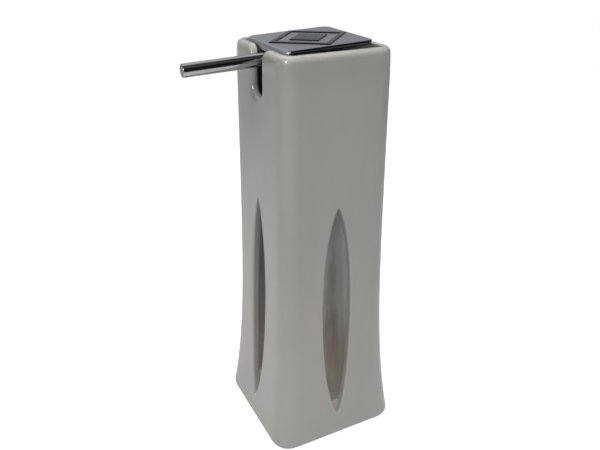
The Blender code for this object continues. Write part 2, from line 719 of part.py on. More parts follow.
def actuator_hub(material):
    """Hub: body under the plate, stem boss, spout snout and a flange with two screw ears."""
    low = -SPOUT_DIAMETER / 2 - HUB_CHAMBER
    body = HUB_DIAMETER / 2
    mesh = turned([(body, low), (body, HEAD_TOP)], "actuator_hub")
    hub = place("actuator_hub", mesh, material, HEAD)
    join(hub,
         rod(HUB_STEM_BOSS, HUB_BOSS_BASE, SPOUT_LEVEL, "stem_boss"),
         rod(HUB_SNOUT_DIAMETER, 0, HUB_SNOUT_REACH, "spout_snout", spout_frame()),
         tool("hub_ears", ear_mesh(), HEAD))
    socket = STEM_DIAMETER + 2 * RUN_FIT
    spout = SPOUT_DIAMETER + 2 * SLIDE_FIT
    ring = spout + 2 * RING_WIRE + SLIDE_FIT
    groove = HUB_SNOUT_REACH - RING_INSET
    reach = RING_WIRE / 2 + SLIDE_FIT
    cut(hub,
        rod(socket, HUB_BOSS_BASE - OVERRUN, STEM_TOP + SEAT, "stem_socket"),
        rod(HUB_PASSAGE, STEM_TOP - OVERRUN, SPOUT_LEVEL, "passage", sides=SMALL_SIDES),
        rod(spout, -HUB_CHAMBER, HUB_SNOUT_REACH + OVERRUN, "spout_bore", spout_frame()),
        rod(ring, groove - reach, groove + reach, "ring_groove", spout_frame()))
    hole = SCREW_DIAMETER + 2 * SLIDE_FIT
    for number, spot in enumerate(screw_spots(), 1):
        cut(hub, rod(hole, -SPOUT_DIAMETER, SPOUT_DIAMETER, f"screw_hole_{number}", spot, SMALL_SIDES))
    return hub


def spout_tube(material):
    """Straight tube with an outlet in its underside near the tip."""
    outer, inner = SPOUT_DIAMETER / 2, SPOUT_BORE / 2
    end = SPOUT_REACH - PLUG_CAP - SEAT
    start = SPOUT_INNER_END
    mesh = turned([(outer, start), (outer, end), (inner, end), (inner, start)], "spout_tube", True)
    tube = place("spout_tube", mesh, material, spout_frame())
    outlet = HEAD @ Matrix.Translation((0, SPOUT_OUTLET_INSET - SPOUT_REACH, 0))
    cut(tube, rod(SPOUT_OUTLET_DIAMETER, -SPOUT_DIAMETER, 0, "outlet_cutter", outlet, SMALL_SIDES))
    return tube


def spout_end_plug(material):
    """Flat cap flush with the tube, on a short spigot."""
    outer, spigot = SPOUT_DIAMETER / 2, SPOUT_BORE / 2 - SLIDE_FIT
    face = SPOUT_REACH
    shoulder = face - PLUG_CAP
    profile = [(spigot, shoulder - PLUG_SPIGOT), (spigot, shoulder), (outer, shoulder),
               (outer, face - PLUG_EDGE), (outer - PLUG_EDGE, face)]
    return place("spout_end_plug", turned(profile, "spout_end_plug"), material, spout_frame())


def spout_o_ring(material):
    """Ring in the snout's groove."""
    wire = RING_WIRE / 2
    radius = SPOUT_DIAMETER / 2 + SLIDE_FIT + wire
    level = HUB_SNOUT_REACH - RING_INSET
    profile = arc((radius, level), wire, 0, 4, SMALL_SIDES // 2)[:-1]
    return place("spout_o_ring", turned(profile, "spout_o_ring", True), material, spout_frame())


def diamond_ring(half, level):
    """Square on its corner, centred on the plate."""
    return [(half, 0, level), (0, half, level), (-half, 0, level), (0, -half, level)]


def plate_mesh():
    """Square plate with rounded edges."""
    half = PLATE_WIDTH / 2
    top = PLATE_BASE + PLATE_THICKNESS
    rings = [square_ring(half - PLATE_EDGE, PLATE_CORNER - PLATE_EDGE, PLATE_BASE),
             square_ring(half, PLATE_CORNER, PLATE_BASE + PLATE_EDGE)]
    for inset, level in arc((-PLATE_EDGE, top - PLATE_EDGE), PLATE_EDGE, 0, 1):
        rings.append(square_ring(half + inset, PLATE_CORNER + inset, level))
    return loft(rings, "press_plate")


def relief_frame_mesh():
    """Raised diamond frame with sloping sides, sunk a little into the plate."""
    top = PLATE_BASE + PLATE_THICKNESS
    outer = RELIEF_FRAME_SHARE * PLATE_WIDTH / 2
    inner = outer - RELIEF_BAND * math.sqrt(2)
    slope = RELIEF_HEIGHT / 2
    rings = [diamond_ring(outer, top - PLATE_EDGE), diamond_ring(outer - slope, top + RELIEF_HEIGHT),
             diamond_ring(inner + slope, top + RELIEF_HEIGHT), diamond_ring(inner, top - PLATE_EDGE)]
    return loft(rings, "relief_frame", ring_shaped=True)


def relief_centre_mesh():
    """Raised diamond in the middle of the frame."""
    top = PLATE_BASE + PLATE_THICKNESS
    half = RELIEF_CENTRE_SHARE * PLATE_WIDTH / 2
    crest = diamond_ring(half - RELIEF_HEIGHT / 2, top + RELIEF_HEIGHT)
    return loft([diamond_ring(half, top - PLATE_EDGE), crest], "relief_centre")


def lug_mesh():
    """Tapered lug under the plate's front edge, down to the spout."""
    front = PLATE_EDGE - PLATE_WIDTH / 2
    back = front + LUG_DEPTH
    rings = []
    for width, level in ((LUG_FOOT_WIDTH, FLANGE_TOP + SEAT), (LUG_TOP_WIDTH, PLATE_BASE + PLATE_EDGE)):
        half = width / 2
        rings.append([(half, front, level), (half, back, level), (-half, back, level), (-half, front, level)])
    return loft(rings, "spout_lug")


def press_plate(material):
    """Plate with its raised diamonds, a lug over the spout, and two bosses that take the screws."""
    centre = HEAD @ Matrix.Translation((0, -PLATE_FORWARD, 0))
    plate = place("press_plate", plate_mesh(), material, centre)
    join(plate,
         tool("relief_frame", relief_frame_mesh(), centre),
         tool("relief_centre", relief_centre_mesh(), centre),
         tool("spout_lug", lug_mesh(), centre))
    boss = PLATE_BOSS_DIAMETER / 2
    hole = SCREW_DIAMETER / 2 + SLIDE_FIT
    low, high = FLANGE_TOP + SEAT, PLATE_BASE + PLATE_EDGE
    for number, spot in enumerate(screw_spots(), 1):
        name = f"plate_boss_{number}"
        ring = turned([(boss, low), (boss, high), (hole, high), (hole, low)], name, True, SMALL_SIDES)
        join(plate, tool(name, ring, spot))
    return plate


def plate_screws(material):
    """Two pan-head screws up through the hub's ears into the plate's bosses."""
    shank, head = SCREW_DIAMETER / 2, SCREW_HEAD_DIAMETER / 2
    seat = FLANGE_TOP - HUB_FLANGE_THICKNESS - SEAT
    low, tip = seat - SCREW_HEAD_HEIGHT, seat + SCREW_LENGTH
    profile = [(head / 2, low), (head, seat - SCREW_HEAD_HEIGHT / 2), (head, seat),
               (shank, seat), (shank, tip)]
    mesh = turned(profile, "plate_screw", False, SMALL_SIDES)
    for number, spot in enumerate(screw_spots(), 1):
        place(f"plate_screw_{number}", mesh, material, spot)


def build():
    """Make every piece of the dispenser."""
    clear_scene()
    ceramic = finish_material("glazed_ceramic", (0.46, 0.45, 0.43), 0.16)
    clear = finish_material("clear_plastic", (0.92, 0.94, 0.94), 0.05, transmission=0.9)
    chrome = finish_material("chrome", (0.78, 0.79, 0.80), 0.07, metallic=1.0)
    white = finish_material("white_plastic", (0.80, 0.80, 0.78), 0.38)
    milky = finish_material("milky_plastic", (0.78, 0.80, 0.80), 0.30)
    rubber = finish_material("seal_rubber", (0.05, 0.05, 0.05), 0.70)
    steel = finish_material("spring_steel", (0.60, 0.60, 0.60), 0.28, metallic=1.0)
    ceramic_sleeve(ceramic)
    bottle(clear)
    screw_collar(white)
    neck_gasket(rubber)
    pump_cylinder(milky)
    cylinder_cap(white)
    stem(white)
    piston_seal(milky)
    plunger(white)
    return_spring(steel)
    ball_retainer(white)
    inlet_ball(steel)
    outlet_ball(steel)
    dip_tube(milky)
    actuator_hub(white)
    spout_tube(chrome)
    spout_end_plug(chrome)
    spout_o_ring(rubber)
    press_plate(chrome)
    plate_screws(steel)


build()
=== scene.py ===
"""Press-pump soap dispenser in a flared ceramic sleeve, dressed for its picture.

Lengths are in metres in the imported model's frame: +Z is up and the spout points along -Y.
"""
import math

import bmesh
import bpy
import numpy as np
from mathutils import Matrix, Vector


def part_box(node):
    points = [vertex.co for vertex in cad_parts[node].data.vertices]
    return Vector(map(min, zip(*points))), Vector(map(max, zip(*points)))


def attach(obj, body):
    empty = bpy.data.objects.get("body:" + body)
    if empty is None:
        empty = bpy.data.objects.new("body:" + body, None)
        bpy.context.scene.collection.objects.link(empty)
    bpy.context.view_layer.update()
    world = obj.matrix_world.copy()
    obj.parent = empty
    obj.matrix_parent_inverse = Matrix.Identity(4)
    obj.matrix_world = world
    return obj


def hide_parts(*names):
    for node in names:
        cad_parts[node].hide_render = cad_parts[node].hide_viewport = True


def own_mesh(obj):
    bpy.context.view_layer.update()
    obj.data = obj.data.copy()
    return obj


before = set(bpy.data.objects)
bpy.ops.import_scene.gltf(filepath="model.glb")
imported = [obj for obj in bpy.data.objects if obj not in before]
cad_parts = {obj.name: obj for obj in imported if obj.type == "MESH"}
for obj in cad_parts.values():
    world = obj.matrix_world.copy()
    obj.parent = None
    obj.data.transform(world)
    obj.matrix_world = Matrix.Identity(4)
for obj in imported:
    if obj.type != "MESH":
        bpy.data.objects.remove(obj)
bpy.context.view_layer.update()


def low_of(node):
    """Level of a node's lowest point."""
    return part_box(node)[0][2]


def high_of(node):
    """Level of a node's highest point."""
    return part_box(node)[1][2]


def width_of(node):
    """Width of a node along X."""
    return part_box(node)[1][0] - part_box(node)[0][0]


# Sleeve
SLEEVE_HEIGHT = high_of("ceramic_sleeve")
SLEEVE_TOP_HALF = 0.0325
SLEEVE_BASE_HALF = 0.0425
SLEEVE_LEAN = 0.0033
SLEEVE_WALL = 0.0045
SLEEVE_FLOOR = 0.005
SLEEVE_TOP_CORNER = 0.0082
SLEEVE_BASE_CORNER = 0.0123
FLARE_POWER = 5
FOOT_RADIUS = 0.003
CAVITY_RADIUS = 0.004
RIM_OUTER_RADIUS = 0.0028
RIM_INNER_RADIUS = 0.0009
RIM_PILLOW = 0.0004
RIM_PILLOW_DEPTH = 0.011
FOOT_RING_SHARES = (0.80, 0.93)
FOOT_RING_SPARE_SHARE = 0.01
UNDERSIDE_SHARES = np.array([0, 0.4, 0.7, *FOOT_RING_SHARES, 0.985])
CAVITY_FLOOR_SHARES = np.array([0.97, 0.7, 0.35, 0])

# Leaf windows
WINDOW_HALF = 0.0105
WINDOW_BOTTOM = 0.014
WINDOW_WIDEST = 0.092
WINDOW_TOP = 0.1575
WINDOW_OUTER_RADIUS = 0.0013
WINDOW_INNER_RADIUS = 0.0009
LEAF_POWER = 2.2
LEAF_TIP_POWER = 0.77
LEAF_FOOT_POWER = 0.68

# Spout slot
SLOT_HALF = 0.0064
SLOT_DEPTH = 0.0259
SLOT_MOUTH_RADIUS = 0.0055
SLOT_OUTER_RADIUS = 0.0026
SLOT_INNER_RADIUS = 0.0013

# Rows and columns of the sleeve
EASE_STEPS = 2000
CORNER_STEPS = 14
FLAT_STEPS = 15
FLAT_END_SHARE = 0.02
EDGE_STEPS = 9
EDGE_STEP_POWER = 0.8
LEAF_STEPS = 57
ARC_STEPS = 15
SIDE_STEPS = 12
STRAIGHT_STEPS = SIDE_STEPS - 2
LOW_STEPS = 10
PLAIN_STEPS = 14

# Glaze zones, and the painted light and painted shade inside the sleeve
EDGE_THINNING = 0.25
# Painted light inside the sleeve: a pale tone, strongest on the floor, that fades upwards over this height by
# this share
PAINTED_LIGHT_LEVEL = 0.10
PAINTED_LIGHT_FADE = 0.9
# Painted shade: the upper inner wall is painted nearly black from this level up to just below the rim
SHADE_LEVEL = 0.180
SHADE_SPREAD = 0.020
RIM_SHADE_DEPTH = 0.008
RIM_SHADE_START_SHARE = 0.4

# Bottle
BOTTLE_HALF = 0.021
BOTTLE_CORNER = 0.007
BOTTLE_WALL = 0.0014
BOTTLE_FOOT_RADIUS = 0.003
PUSH_UP_HALF = 0.0135
PUSH_UP_RISE = 0.0012
PUSH_UP_FLAT_SHARE = 0.6
PUSH_UP_STEPS = 5
SHOULDER_HEIGHT = 0.0165
NECK_HEIGHT = 0.0175
NECK_RADIUS = 0.0136
NECK_BORE_RADIUS = 0.0109
NECK_BEAD_RADIUS = 0.01475
NECK_BEAD_HEIGHT = 0.0016
NECK_BEAD_POWER = 0.5
NECK_LIP = 0.0004
NECK_LIP_POWERS = (0.3, 0.5)
BOTTLE_CORNER_STEPS = 20
BOTTLE_FOOT_STEPS = 9
BODY_STEPS = 12
SHOULDER_STEPS = 22
BEAD_STEPS = 9
LIP_STEPS = 7
THREAD_PITCH = 0.0032
THREAD_RISE = 0.0009
THREAD_HALF_WIDTH = 0.0007
THREAD_STEPS = 50

# Collar
COLLAR_WEB = 0.0016
COLLAR_HOLE_RADIUS = 0.0092
COLLAR_SKIRT_RADIUS = 0.0149
COLLAR_THREAD_RADIUS = 0.01395
COLLAR_THREAD_INSET = 0.0004
COLLAR_THREAD_TURN = 0.5
COLLAR_EDGE = 0.0009
COLLAR_RIB_DEPTH = 0.0005
COLLAR_RIB_FADE = 0.0016
COLLAR_RIB_TOP_FADE = 0.0012
COLLAR_RIBS = 30
COLLAR_WALL_STEPS = 14
COLLAR_SKIRT_STEPS = 46

# Gasket and pump
GASKET_BORE_RADIUS = 0.00875
GASKET_EDGE = 0.0003
CYLINDER_RADIUS = 0.0083
CYLINDER_BORE_RADIUS = 0.007
CYLINDER_DEPTH = 0.056
CYLINDER_FLANGE = 0.0013
CYLINDER_EDGE = 0.0004
CHAMBER_RADIUS = 0.0037
CHAMBER_HEIGHT = 0.0064
SEAT_RADIUS = 0.0015
SEAT_HEIGHT = 0.002
SOCKET_RADIUS = 0.0029
SOCKET_WALL = 0.0013
SOCKET_DEPTH = 0.012
VALVE_WALL = 0.0018
CAP_FLANGE = 0.0014
CAP_EDGE = 0.0005
STEM_RADIUS = 0.0035
STEM_BORE_RADIUS = 0.0012
STEM_POCKET_RADIUS = 0.0026
STEM_POCKET_DEPTH = 0.0052
STEM_SOCKET_RADIUS = 0.0022
STEM_SOCKET_DEPTH = 0.013
STEM_SHOULDER_HEIGHT = 0.0015
STEM_EDGE = 0.0003
PISTON_WAIST_RADIUS = 0.00525
PISTON_LIP = 0.0014
PISTON_EDGE = 0.0006
PLUNGER_HEAD_RADIUS = 0.0056
PLUNGER_HEAD_HEIGHT = 0.0024
PLUNGER_PILOT_RADIUS = 0.0037
PLUNGER_PILOT_HEIGHT = 0.003
PLUNGER_RIB = 0.0011
PLUNGER_EDGE = 0.0005
SPRING_WIRE_RADIUS = 0.0005
SPRING_RADIUS = 0.0047
SPRING_TURNS = 8
SPRING_STEPS = 40
SPRING_WIRE_STEPS = 12
SPRING_END_CLIMB = 2.1 * SPRING_WIRE_RADIUS
PORT_HALF_LENGTH = 0.0043
PORT_HALF_WIDTH = 0.0011
DIP_TUBE_RADIUS = 0.0026
DIP_TUBE_BORE_RADIUS = 0.0018
DIP_TUBE_FOOT = 0.006
DIP_TUBE_SLANT_SHARE = 0.6
BALL_STEPS = 25
RUN_FIT = 0.0001
LOOSE_FIT = 0.0003

# Head
HEAD_TILT = math.radians(2.0)
SPOUT_LIFT = 0.0006
SPOUT_ABOVE_STEM = 0.0048
SPOUT_RADIUS = 0.0035
SPOUT_BORE_RADIUS = 0.0023
SPOUT_REACH = 0.0718
SPOUT_INNER_END = 0.0018
OUTLET_RADIUS = 0.0015
OUTLET_INSET = 0.006
OUTLET_WINDOW_HALF = 1.35 * OUTLET_RADIUS
OUTLET_STEPS = 32
OUTLET_RINGS = 6
SPOUT_STEPS = 8
SPOUT_TIP_STEPS = 4
SPOUT_ROUND_STEPS = 61
PLUG_CAP = 0.0014
PLUG_SPIGOT = 0.003
PLUG_EDGE = 0.0006
HUB_RADIUS = 0.010
HUB_ROOF = 0.0024
HUB_CHAMBER = 0.002
HUB_CEILING = -0.0034
HUB_EDGE = 0.0006
HUB_BOSS_RADIUS = 0.0063
HUB_BOSS_EDGE = 0.0005
HUB_SNOUT_RADIUS = 0.0054
HUB_SNOUT_START = 0.0035
HUB_SNOUT_REACH = 0.0165
HUB_SNOUT_EDGE = 0.0007
EAR_HALF_LENGTH = 0.0165
EAR_HALF_WIDTH = 0.0045
EAR_THICKNESS = 0.002
EAR_EDGE = 0.0004
RING_WIRE_RADIUS = 0.00055
RING_INSET = 0.003
RING_STEPS = 24
PLATE_HALF = 0.02525
PLATE_THICKNESS = 0.0023
PLATE_CORNER = 0.0045
PLATE_CORNER_STEPS = 13
PLATE_SIDE_SHARES = np.array([0, 0.012, 0.03, 0.1, 0.25, 0.4, 0.55, 0.7, 0.85, 0.97, 1])
PLATE_EDGE = 0.0005
PLATE_FRONT_EDGE = 0.0015
PLATE_EDGE_STEPS = 9
PLATE_REST = 1.6
PLATE_FOOT_SHARES = ((0, 1), (0.3, 0.3), (1, 0))
PLATE_UNDERSIDE_SHARES = (0.97, 0.5, 0)
PLATE_FORWARD = 0.0016
PLATE_BOSS_RADIUS = 0.0025
PLATE_BOSS_EDGE = 0.0003
# Share of dark line on the polished plate edge: a painted dark reflection
EDGE_PAINTED_REFLECTION = 0.8
RELIEF_HEIGHT = 0.0006
RELIEF_SLOPE = 0.0005
RELIEF_CREST_EDGE = 0.00012
RELIEF_BAND = 0.0030
RELIEF_FRAME_SHARE = 0.92
RELIEF_CENTRE_SHARE = 0.455
LUG_TOP_HALF = 0.0088
LUG_FOOT_HALF = 0.0074
LUG_DEPTH = 0.007
LUG_CORNER = 0.0012
LUG_CORNER_STEPS = 8
LUG_EDGE_STEPS = 5

# Plate screws
SCREW_SPACING = 0.026
SCREW_RADIUS = 0.0012
SCREW_CORE_SHARE = 0.82
SCREW_TIP_SHARE = 0.5
SCREW_PITCH = 0.0008
SCREW_THREAD_SHARE = 0.2
SCREW_POINT = 0.0006
SCREW_HEAD_RADIUS = 0.0022
SCREW_HEAD_HEIGHT = 0.0014
SCREW_DOME_SHARE = 0.7
SCREW_DOME_START = 0.7
SCREW_FACE_SHARE = 0.6
SCREW_FACE_STEPS = 13
SCREW_DOME_STEPS = 8
SCREW_SHANK_STEPS = 60
SCREW_ROUND_STEPS = 64
CROSS_REACH_SHARE = 0.62
CROSS_HALF = 0.00028
CROSS_DEPTH = 0.0007

# Steps round a turned piece, and how near two points are to be one
ROUND_STEPS = 96
FINE_STEPS = 240
SMALL_STEPS = 48
WELD = 0.000001

# Degrees above which an edge between faces is shaded sharp
SHARP_ANGLE = 40
PLUG_SHARP_ANGLE = 50
PLATE_SHARP_ANGLE = 28

# Softened corners of a profile: points of the bend, and how far it may reach along a side
BEND_STEPS = 5
BEND_SHARE = 0.3
BEND_REST = 1.5
CORNER_POINTS = BEND_STEPS + 2

# Levels, reaches and frames that follow from the values above
SPOUT_LEVEL = high_of("stem") + SPOUT_ABOVE_STEM
PLATE_BASE = SPOUT_RADIUS + HUB_ROOF + LOOSE_FIT
PLATE_TOP = PLATE_BASE + PLATE_THICKNESS
RELIEF_TOP = PLATE_TOP + RELIEF_HEIGHT
RELIEF_CENTRE = RELIEF_CENTRE_SHARE * PLATE_HALF
RELIEF_OUTER = RELIEF_FRAME_SHARE * PLATE_HALF
RELIEF_INNER = RELIEF_OUTER - RELIEF_BAND * math.sqrt(2)
HEAD = Matrix.Translation((0, 0, SPOUT_LEVEL)) @ Matrix.Rotation(HEAD_TILT, 4, "X")
SPOUT = HEAD @ Matrix.Translation((0, 0, SPOUT_LIFT)) @ Matrix.Rotation(math.pi / 2, 4, "X")


# Meshes from grids of points

def smooth(share):
    """3u^2 - 2u^3 between 0 and 1."""
    share = np.clip(share, 0, 1)
    return share * share * (3 - 2 * share)


def running_sum(values):
    """Running sum of evenly spaced values over a stretch of length 1: the middle of each pair, added up."""
    return np.concatenate(([0], np.cumsum((values[1:] + values[:-1]) / 2))) / EASE_STEPS


def grid_quads(points):
    """Each cell of a rows by columns grid becomes one quad of its four corner indices."""
    rows, columns = points.shape[:2]
    index = np.arange(rows * columns).reshape(rows, columns)
    corners = (index[:-1, :-1], index[:-1, 1:], index[1:, 1:], index[1:, :-1])
    return np.stack(corners, axis=-1).reshape(-1, 4)


def moved(points, matrix):
    """Every point times the matrix."""
    turn = np.array(matrix.to_3x3())
    return points @ turn.T + np.array(matrix.translation)


def rotation(quarters):
    """Plane turn by quarter turns, for rows of points on its left."""
    angle = math.pi / 2 * quarters
    return np.array([[math.cos(angle), math.sin(angle)], [-math.sin(angle), math.cos(angle)]])


def turned(profile, steps=ROUND_STEPS):
    """Surface of revolution: the point (r, z) goes to (r cos a, r sin a, z) for a whole turn of a."""
    profile = np.asarray(profile, float)
    angle = np.linspace(0, math.tau, steps + 1)
    x = profile[:, :1] * np.cos(angle)
    y = profile[:, :1] * np.sin(angle)
    z = np.repeat(profile[:, 1:2], steps + 1, axis=1)
    return np.stack((x, y, z), axis=-1)


def softened(corners, radius, closed=True):
    """Each corner B between A and C becomes the parabola (1-u)^2 P + 2u(1-u) B + u^2 Q.

    P and Q lie on the two sides at the radius from B, or nearer on a side that is short. One more
    point a little further out on each side keeps the flats flat when they are shaded.
    """
    corners = np.asarray(corners, float)
    before = np.roll(corners, 1, axis=0) - corners
    after = np.roll(corners, -1, axis=0) - corners
    share = np.linspace(0, 1, BEND_STEPS)[:, None]
    line = []
    for corner, back, forth in zip(corners, before, after):
        lengths = np.linalg.norm(back), np.linalg.norm(forth)
        reach = min(radius, BEND_SHARE * min(lengths))
        back, forth = back / lengths[0] * reach, forth / lengths[1] * reach
        start, end = (1 - share) ** 2 * (corner + back), share ** 2 * (corner + forth)
        curve = start + 2 * share * (1 - share) * corner + end
        line += [corner + back * BEND_REST, *curve, corner + forth * BEND_REST]
    if closed:
        return np.array(line + line[:1])
    return np.array([corners[0], *line[CORNER_POINTS:-CORNER_POINTS], corners[-1]])


def rounded_rings(half_x, half_y, corner, level, steps):
    """Rounded rectangles: four quarter circles of the corner radius about the corner centres."""
    half_x, half_y, corner, level = (
        values[:, None] for values in np.broadcast_arrays(half_x, half_y, corner, level))
    quarter = np.linspace(0, math.pi / 2, steps + 1)
    angle = np.concatenate([quarter + math.pi / 2 * n for n in range(4)] + [[math.tau]])
    side_x, side_y = (np.append(np.repeat(signs, steps + 1), 1)
                      for signs in ((1, -1, -1, 1), (1, 1, -1, -1)))
    x = side_x * (half_x - corner) + corner * np.cos(angle)
    y = side_y * (half_y - corner) + corner * np.sin(angle)
    return np.stack((x, y, np.broadcast_to(level, x.shape)), axis=-1)


def piece(name, patches, body, finish, node, sharp=None, values=None):
    """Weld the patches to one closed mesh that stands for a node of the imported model.

    values maps the name of a point attribute to one array of numbers per patch. Edges that turn
    by more than sharp degrees are shaded sharp.
    """
    points = np.concatenate([patch.reshape(-1, 3) for patch in patches])
    starts = np.cumsum([0] + [patch.shape[0] * patch.shape[1] for patch in patches[:-1]])
    quads = np.concatenate([grid_quads(patch) + start for patch, start in zip(patches, starts)])
    mesh = bpy.data.meshes.new(name)
    mesh.from_pydata(points.tolist(), [], quads.tolist())
    for label, arrays in (values or {}).items():
        layer = mesh.attributes.new(label, "FLOAT", "POINT")
        layer.data.foreach_set("value", np.concatenate([array.ravel() for array in arrays]))
    shell = bmesh.new()
    shell.from_mesh(mesh)
    bmesh.ops.remove_doubles(shell, verts=shell.verts, dist=WELD)
    bmesh.ops.recalc_face_normals(shell, faces=shell.faces)
    shell.to_mesh(mesh)
    shell.free()
    mesh.shade_smooth()
    if sharp:
        mesh.set_sharp_from_angle(angle=math.radians(sharp))
    mesh.materials.append(finish)
    made = bpy.data.objects.new(name, mesh)
    bpy.context.scene.collection.objects.link(made)
    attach(made, body)
    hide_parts(node)
    return made


# Ceramic sleeve

def sleeve_half(level):
    """Half width: a straight lean, a flare with the fifth power of the drop, and a soft top.

    Near the rim the half width falls off with the square of the height above the soft top's foot.
    """
    drop = 1 - level / SLEEVE_HEIGHT
    flare = SLEEVE_BASE_HALF - SLEEVE_TOP_HALF - SLEEVE_LEAN
    pillow = RIM_PILLOW * np.clip(1 - drop * SLEEVE_HEIGHT / RIM_PILLOW_DEPTH, 0, 1) ** 2
    return SLEEVE_TOP_HALF + SLEEVE_LEAN * drop + flare * drop ** FLARE_POWER - pillow


def sleeve_corner(level):
    """Corner radius, growing in a straight line from the rim to the foot."""
    return SLEEVE_TOP_CORNER + (SLEEVE_BASE_CORNER - SLEEVE_TOP_CORNER) * (1 - level / SLEEVE_HEIGHT)


def eased_corner():
    """Half a corner whose bend starts and ends gently: its direction is a quarter turn times 3u^2 - 2u^3.

    The points are the running sums of that direction's sine and cosine, scaled so that the corner
    is cut back as far as by a quarter circle of radius 1. The last number is its reach.
    """
    share = np.linspace(0, 1, EASE_STEPS + 1)
    angle = math.pi / 2 * smooth(share)
    inward, along = running_sum(np.sin(angle)), running_sum(np.cos(angle))
    scale = (1 - math.cos(math.pi / 4)) / inward[EASE_STEPS // 2]
    pick = np.linspace(0, 0.5, CORNER_STEPS)[1:]
    return (np.interp(pick, share, inward) * scale, np.interp(pick, share, along) * scale,
            along[-1] * scale)


def octant_columns(level, depth, start):
    """Columns of half a side and half a corner, for rows of level, depth and first place across.

    On the flat the place across runs from start to the tangent point, close together at both
    ends. On the corner the columns follow the eased corner up to its middle.
    """
    level, depth, start = np.broadcast_arrays(np.asarray(level, float), depth, start)
    half = sleeve_half(level) - depth
    corner = np.maximum(sleeve_corner(level) - depth, CAVITY_RADIUS / 2)
    inward, along, reach = eased_corner()
    flat = half - reach * corner
    middle = 0.5 - 0.5 * np.cos(math.pi * np.linspace(0, 1, FLAT_STEPS)[2:-2])
    share = np.concatenate(([0, FLAT_END_SHARE], middle, [1 - FLAT_END_SHARE, 1]))
    across = start[:, None] + (flat - start)[:, None] * share
    x = np.concatenate((np.repeat(half[:, None], share.size, axis=1),
                        half[:, None] - corner[:, None] * inward), axis=1)
    y = np.concatenate((across, flat[:, None] + corner[:, None] * along), axis=1)
    z = np.repeat(level[:, None], x.shape[1], axis=1)
    return np.stack((x, y, z), axis=-1)


def leaf_width(share):
    """Width of the leaf between -1 and 1: (1 - |s|^2.2)^0.77, and with 0.68 in the lower half."""
    power = np.where(share < 0, LEAF_FOOT_POWER, LEAF_TIP_POWER)
    return (1 - np.abs(share) ** LEAF_POWER) ** power


def leaf_edge(setback):
    """Level and half width of a leaf window's edge, in a row for each point and a column for each setback.

    At the level widest + s reach it is half times the leaf's width at s, with half and reach both
    widened by what the setback has beyond the outer edge's radius.
    """
    share = np.sin(math.pi / 2 * np.linspace(-1, 1, LEAF_STEPS))[:, None]
    widen = np.atleast_1d(setback) - WINDOW_OUTER_RADIUS
    reach = np.where(share < 0, WINDOW_WIDEST - WINDOW_BOTTOM, WINDOW_TOP - WINDOW_WIDEST) + widen
    return WINDOW_WIDEST + share * reach, (WINDOW_HALF + widen) * leaf_width(share)


def slot_blend():
    """Share of the rim's own edge in each row of the slot's edge: it grows round the mouth."""
    return np.concatenate((np.zeros(ARC_STEPS + STRAIGHT_STEPS), smooth(np.linspace(0, 1, ARC_STEPS))))


def slot_edge(setback):
    """Place across and level of the slot's edge, from a row for each point and a column for each setback.

    The rows follow the half circle of its foot, its straight side, and the quarter circle of its
    mouth. The setback widens the foot and the side, and it shrinks the mouth's circle.
    """
    foot, side, lip = np.split(setback, (ARC_STEPS, ARC_STEPS + STRAIGHT_STEPS))
    turn = np.linspace(0, math.pi / 2, ARC_STEPS)[:, None]
    centre, mouth = SLEEVE_HEIGHT - SLOT_DEPTH + SLOT_HALF, SLEEVE_HEIGHT - SLOT_MOUTH_RADIUS
    side_level = centre + (mouth - centre) * np.linspace(0, 1, SIDE_STEPS)[1:-1, None]
    across = np.concatenate(((SLOT_HALF + foot) * np.sin(turn), SLOT_HALF + side,
                             SLOT_HALF + SLOT_MOUTH_RADIUS - (SLOT_MOUTH_RADIUS - lip) * np.cos(turn)))
    level = np.concatenate((centre - (SLOT_HALF + foot) * np.cos(turn), side_level + 0 * side,
                            mouth + (SLOT_MOUTH_RADIUS - lip) * np.sin(turn)))
    return across, level


def wall_rows(setback):
    """Level, leaf edge and slot edge of each row of the wall, for the setback of every edge.

    Between the lowest row and the leaf, and between leaf and slot, the levels are evenly spaced.
    """
    leaf_level, leaf = (rows[:, 0] for rows in leaf_edge(setback["leaf"]))
    slot_setback = setback["slot"] + (setback["rim"] - setback["slot"]) * slot_blend()[:, None]
    slot, slot_level = (rows[:, 0] for rows in slot_edge(slot_setback))
    low = setback["low"] + (leaf_level[0] - setback["low"]) * np.linspace(0, 1, LOW_STEPS)[:-1]
    plain = leaf_level[-1] + (slot_level[0] - leaf_level[-1]) * np.linspace(0, 1, PLAIN_STEPS)[1:-1]
    level = np.concatenate((low, leaf_level, plain, slot_level))
    leaf = np.concatenate((0 * low, leaf, 0 * plain, 0 * slot))
    slot = np.concatenate((np.zeros(level.size - slot.size), slot))
    return level, leaf, slot


def eased_edge():
    """Depth and setback of a rounded edge of radius 1 that leaves its face gently.

    Its direction is a quarter turn times u^2 (2 - u). The points are the running sums of that
    direction's sine and cosine, scaled so that the edge is cut back as far as by a quarter circle.
    """
    share = np.linspace(0, 1, EASE_STEPS + 1)
    angle = math.pi / 2 * share * share * (2 - share)
    depth, along = running_sum(np.sin(angle)), running_sum(np.cos(angle))
    setback = along[-1] - along
    scale = (math.sqrt(2) - 1) / np.min(np.hypot(depth, setback))
    pick = np.linspace(0, 1, EDGE_STEPS + 1) ** EDGE_STEP_POWER
    return np.interp(pick, share, depth) * scale, np.interp(pick, share, setback) * scale


EDGE_DEPTH, EDGE_SETBACK = eased_edge()
EDGE_REACH = EDGE_SETBACK[0]


def edge_profile(outer, inner):
    """Depth into the wall and setback from the edge: an eased edge on each side of a flat."""
    outer, inner = np.atleast_1d(outer)[:, None], np.atleast_1d(inner)[:, None]
    depth = np.concatenate((outer * EDGE_DEPTH, SLEEVE_WALL - inner * EDGE_DEPTH[::-1]), axis=1)
    setback = np.concatenate((outer * EDGE_SETBACK, inner * EDGE_SETBACK[::-1]), axis=1)
    return depth, setback


